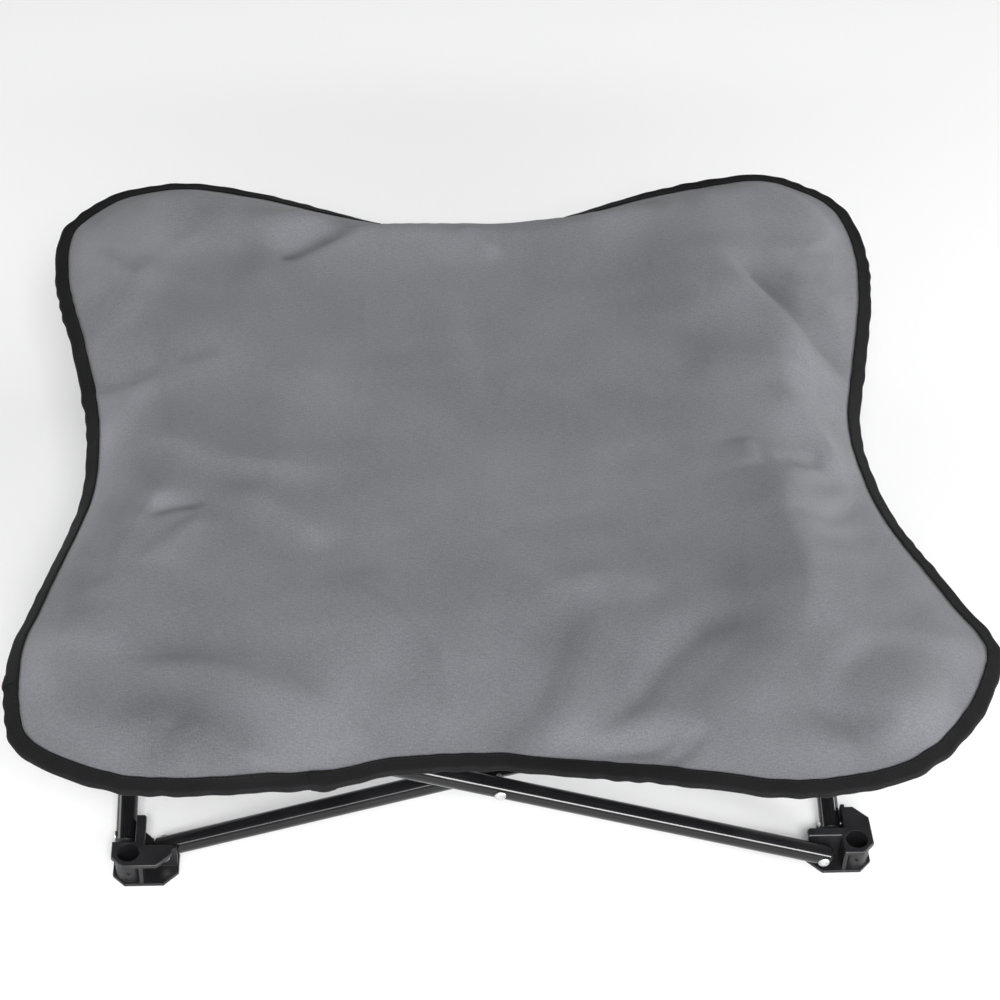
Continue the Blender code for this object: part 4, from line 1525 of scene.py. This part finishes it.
def turned_form(name, start, way, profile, closed, segments=48):
    """A round form about a line: profile rows are (distance along the line, radius)."""
    way = np.array(way) / np.linalg.norm(way)
    side = np.cross(way, (0.0, 0.0, 1.0))
    side /= np.linalg.norm(side)
    rise = np.cross(side, way)
    turns = np.linspace(0, 2 * math.pi, segments, endpoint=False)
    ring = np.outer(np.cos(turns), side) + np.outer(np.sin(turns), rise)
    points, rows = [], []
    for far, radius in profile:
        here = np.array(start) + way * far
        count = segments if radius > 0 else 1
        rows.append([len(points) + k for k in range(count)])
        points += [here + radius * ring[k] for k in range(count)]
    faces = []
    for a, b in zip(rows, rows[1:] + rows[:1] if closed else rows[1:]):
        for k in range(segments):
            m = (k + 1) % segments
            corners = [a[k % len(a)], a[m % len(a)], b[m % len(b)], b[k % len(b)]]
            faces.append(tuple(dict.fromkeys(corners)))
    made = mesh_object(name, points, faces)
    outward(made)
    made.data.set_sharp_from_angle(angle=math.radians(35))
    return made


def bevelled_copy(name, node_name, width):
    """A moulding as the frame has it, with its faces joined and its edges rounded."""
    mesh = frame["nodes"][node_name].data.copy()
    mesh.name = name
    bm = bmesh.new()
    bm.from_mesh(mesh)
    bmesh.ops.remove_doubles(bm, verts=bm.verts, dist=1e-6)
    bmesh.ops.dissolve_limit(bm, angle_limit=math.radians(1), verts=bm.verts, edges=bm.edges)
    bmesh.ops.recalc_face_normals(bm, faces=bm.faces)
    bm.to_mesh(mesh)
    bm.free()
    made = place_object(name, mesh)
    shade_smooth(mesh)
    edges = made.modifiers.new("edges", "BEVEL")
    edges.width = width
    edges.segments = 2
    edges.limit_method = "ANGLE"
    edges.angle_limit = math.radians(38)
    edges.use_clamp_overlap = True
    made.modifiers.new("shading", "WEIGHTED_NORMAL").keep_sharp = False
    return plain_mesh(made)


def tube_ends(node_name):
    """The middle of a tube's two end faces."""
    points = values_of(frame["nodes"][node_name].data.vertices, "co")
    middle = (points.min(0) + points.max(0)) / 2
    way = np.linalg.svd(np.unique(points.round(6), axis=0) - middle, full_matrices=False)[2][0]
    along = (points - middle) @ way
    return middle + way * along.min(), middle + way * along.max()


def outward(made):
    """Points an object's faces outwards."""
    bm = bmesh.new()
    bm.from_mesh(made.data)
    bmesh.ops.recalc_face_normals(bm, faces=bm.faces)
    bm.to_mesh(made.data)
    bm.free()


class DOGBED_OT_screws(bpy.types.Operator):
    """Sets the two small screws in each hub's boss."""

    bl_idname = "dogbed.screws"
    bl_label = "Boss Screws"

    def execute(self, context):
        sizes = settings("frame")
        steel = screw_material()
        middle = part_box("lower_hub_front_left")[1].z / 2
        face = POST_XY + sizes.boss
        for level in ("lower", "upper"):
            for corner in CORNERS:
                name = f"{level}_hub_{corner}"
                low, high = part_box(name)
                sx = 1 if (low.x + high.x) > 0 else -1
                sy = 1 if (low.y + high.y) > 0 else -1
                z = low.z + middle
                spots = [(sx * POST_XY, sy * face, z), (sx * face, sy * POST_XY, z)]
                aims = [(0, sy, 0), (sx, 0, 0)]
                made = screws_at(f"screws_{name}", spots, aims, sizes.screw, steel)
                finish_piece(made, steel, name, "black_steel")
        return {"FINISHED"}


class DOGBED_OT_mouldings(bpy.types.Operator):
    """Rounds the edges of the moulded hubs and corner posts and gives them their finish."""

    bl_idname = "dogbed.mouldings"
    bl_label = "Hubs and Posts"

    def execute(self, context):
        sizes = settings("frame")
        plastic = plastic_material("moulded_plastic", 0.03, 0.30)
        post = plastic_material("post_plastic", 0.012, 0.40)
        for name, obj in frame["nodes"].items():
            if "_hub_" in name:
                made = bevelled_copy("shell_" + name, name, sizes.round_over)
                finish_piece(made, plastic, body_of(obj)[0], "black_plastic", name)
            elif name.startswith("corner_post"):
                made = bevelled_copy("shell_" + name, name, sizes.round_over / 2)
                finish_piece(made, post, body_of(obj)[0], "black_plastic", name)
        return {"FINISHED"}


class DOGBED_OT_tubes(bpy.types.Operator):
    """Makes the round painted tubes and the domed plugs in their ends."""

    bl_idname = "dogbed.tubes"
    bl_label = "Tubes and Plugs"

    def execute(self, context):
        paint = paint_material()
        plastic = plastic_material("plug_plastic", 0.012, 0.36)
        for side in SIDES:
            for run in ("outer", "inner"):
                name = f"tube_{side}_{run}"
                body = body_of(frame["nodes"][name])[0]
                first, last = tube_ends(name)
                way = last - first
                self.tube(name, first, way, paint, body)
                lower, upper = (first, -way), (last, way)
                if first[2] > last[2]:
                    lower, upper = upper, lower
                for level, (end, ahead) in (("lower", lower), ("upper", upper)):
                    self.plug(f"plug_{level}_{side}_{run}", end, ahead, plastic, body)
        return {"FINISHED"}

    def tube(self, name, first, way, material, body):
        """A round tube with softened ends, cut in four along its length."""
        sizes = settings("frame")
        long, radius = float(np.linalg.norm(way)), sizes.tube / 2
        soft, inner = 0.0003, sizes.tube / 2 - sizes.wall
        cuts = [(share * long, radius) for share in (0.25, 0.5, 0.75)]
        profile = [
            (0, inner), (0, radius - soft), (soft, radius), *cuts,
            (long - soft, radius), (long, radius - soft), (long, inner),
        ]
        made = turned_form("painted_" + name, first, way, profile, True)
        finish_piece(made, material, body, "black_steel", name)

    def plug(self, name, start, ahead, material, body):
        """A domed plug whose dome is round about the rivet near the tube's end."""
        sizes = settings("frame")
        radius, past = sizes.tube / 2, sizes.past_rivet
        inside, clear, off_tube = 0.010, 0.0002, 0.0001
        round_to = math.hypot(radius, past)
        turns = np.linspace(math.acos(past / round_to), 0, 9)
        dome = [(round_to * math.cos(t) - past, max(round_to * math.sin(t), 0)) for t in turns]
        dome[0] = (off_tube, radius - clear)
        core = radius - sizes.wall - clear
        profile = [(-inside, 0), (-inside, core), (off_tube, core), *dome[:-1], (round_to - past, 0)]
        made = turned_form("domed_" + name, start, ahead, profile, False, 40)
        finish_piece(made, material, body, "black_plastic", name)


class DOGBED_OT_rivets(bpy.types.Operator):
    """Makes the bare rivets of the hubs and of the tubes' crossings."""

    bl_idname = "dogbed.rivets"
    bl_label = "Rivets"

    def execute(self, context):
        steel = rivet_material()
        by_body = {}
        for name, obj in frame["nodes"].items():
            if name.startswith(("rivet", "centre_pin")):
                by_body.setdefault(body_of(obj)[0], []).append(name)
        for body, names in by_body.items():
            rows = [row for name in names for row in rivet_points(name)]
            made = rivets_at("rivets_" + body, rows, steel)
            finish_piece(made, steel, body, "bare_steel", *names)
        return {"FINISHED"}


class DOGBED_OT_stage(bpy.types.Operator):
    """Makes the floor, the lights and the camera."""

    bl_idname = "dogbed.stage"
    bl_label = "Stage"

    def execute(self, context):
        stage = settings("stage")
        scene = context.scene
        self.floor(stage)
        self.room(scene, stage)
        for name, place, aim, width, height, share in SOFTBOXES:
            made = self.softbox(name, place, aim, width, height, stage.key * share)
            made.visible_diffuse = name != "shine_light"
        self.camera(scene)
        scene.view_settings.view_transform = "Standard"
        return {"FINISHED"}

    def floor(self, stage):
        """Light paper that fades out far from the bed."""
        fade_from, fade_to = 3.6, 7.5
        left, right, front, back = -12, 12, -8, 16
        corners = [(left, front, 0), (right, front, 0), (right, back, 0), (left, back, 0)]
        mesh = bpy.data.meshes.new("floor")
        mesh.from_pydata(corners, [], [(0, 1, 2, 3)])
        floor = place_object("floor", mesh)
        material, tree, shader, coords = new_material("floor_paper")
        place = coords.outputs["Object"]
        grain = noise(tree, place, 900.0, 2.0)
        colour = shade_between(tree, grain, times(stage.floor, 0.985), stage.floor)
        tree.links.new(colour, shader.inputs["Base Color"])
        shader.inputs["Roughness"].default_value = 0.9
        shader.inputs["Specular IOR Level"].default_value = 0.2
        away = node(tree, "ShaderNodeVectorMath", [(0, place)], operation="LENGTH")
        faded = ramp(tree, away.outputs["Value"], fade_from, fade_to)
        tree.links.new(maths(tree, "SUBTRACT", 1.0, faded), shader.inputs["Alpha"])
        mesh.materials.append(material)

    def room(self, scene, stage):
        """White walls all round under a dimmer ceiling."""
        world = bpy.data.worlds.new("studio")
        world.use_nodes = True
        tree = world.node_tree
        coords = tree.nodes.new("ShaderNodeTexCoord")
        way = node(tree, "ShaderNodeSeparateXYZ", [("Vector", coords.outputs["Generated"])])
        light = node(
            tree, "ShaderNodeMapRange",
            [("Value", way.outputs["Z"]), ("From Min", 0.0), ("From Max", 0.9),
             ("To Min", stage.horizon), ("To Max", stage.ceiling)],
        )
        background = tree.nodes["Background"]
        background.inputs["Color"].default_value = (1, 1, 1, 1)
        tree.links.new(light.outputs["Result"], background.inputs["Strength"])
        scene.world = world

    def softbox(self, name, place, aim, width, height, power):
        light = bpy.data.lights.new(name, "AREA")
        light.shape = "RECTANGLE"
        light.size, light.size_y = width, height
        light.energy = power
        made = place_object(name, light)
        way = Vector(aim) - Vector(place)
        made.location = place
        made.rotation_euler = way.to_track_quat("-Z", "Y").to_euler()
        made.visible_camera = False
        return made

    def camera(self, scene):
        """Stands a camera where the photograph was taken from, measured in tube widths."""
        tube, focal_pixels, photo_pixels, sensor = 0.019, 2330.98, 1000.0, 36.0
        yaw, pitch, roll = (math.radians(a) for a in (4.879, 42.936, -2.802))
        reach, aim_x, aim_z = 120.688 * tube, 0.868 * tube, 8.024 * tube
        made = place_object("camera", bpy.data.cameras.new("camera"))
        made.data.sensor_width = sensor
        made.data.lens = focal_pixels * sensor / photo_pixels
        back = (aim_x, -reach * math.cos(pitch), aim_z + reach * math.sin(pitch))
        made.matrix_world = (
            Matrix.Rotation(-yaw, 4, "Z") @ Matrix.Translation(back)
            @ Matrix.Rotation(math.pi / 2 - pitch, 4, "X") @ Matrix.Rotation(-roll, 4, "Z")
        )
        scene.camera = made


class DOGBED_PT_sidebar(bpy.types.Panel):
    """Lists the pieces and their sizes."""

    bl_label = "Folding Dog Bed"
    bl_idname = "DOGBED_PT_sidebar"
    bl_space_type = "VIEW_3D"
    bl_region_type = "UI"
    bl_category = "Dog Bed"

    def draw(self, context):
        layout = self.layout
        for name in GROUPS:
            box = layout.box()
            group = settings(name)
            for prop in group.bl_rna.properties:
                if prop.identifier not in ("rna_type", "name"):
                    box.prop(group, prop.identifier)
        for operator in OPERATORS:
            layout.operator(operator.bl_idname)


GROUPS = {
    "panel": PanelSizes, "tape": TapeSizes, "pocket": PocketSizes, "folded": FoldedShape,
    "frame": FrameFinish, "stage": StageSetup,
}
OPERATORS = (
    DOGBED_OT_panel, DOGBED_OT_tape, DOGBED_OT_stitching, DOGBED_OT_pockets,
    DOGBED_OT_mouldings, DOGBED_OT_tubes, DOGBED_OT_rivets, DOGBED_OT_screws, DOGBED_OT_stage,
)
groups = {}


def register():
    for kind in (*GROUPS.values(), *OPERATORS, DOGBED_PT_sidebar):
        bpy.utils.register_class(kind)
    for name, kind in GROUPS.items():
        setattr(bpy.types.Scene, "dog_bed_" + name, PointerProperty(type=kind))


def unregister():
    for name in GROUPS:
        delattr(bpy.types.Scene, "dog_bed_" + name)
    for kind in (*GROUPS.values(), *OPERATORS, DOGBED_PT_sidebar):
        bpy.utils.unregister_class(kind)


def main():
    register()
    groups["weave"] = plain_weave_group()
    groups["blotch"] = blotch_group()
    groups["stitch"] = stitch_group()
    groups["screw"] = screw_group()
    groups["rivet"] = rivet_group()
    bpy.ops.dogbed.panel()
    bpy.ops.dogbed.tape()
    bpy.ops.dogbed.stitching()
    bpy.ops.dogbed.pockets()
    bpy.ops.dogbed.mouldings()
    bpy.ops.dogbed.tubes()
    bpy.ops.dogbed.rivets()
    bpy.ops.dogbed.screws()
    bpy.ops.dogbed.stage()


if __name__ == "__main__":
    main()
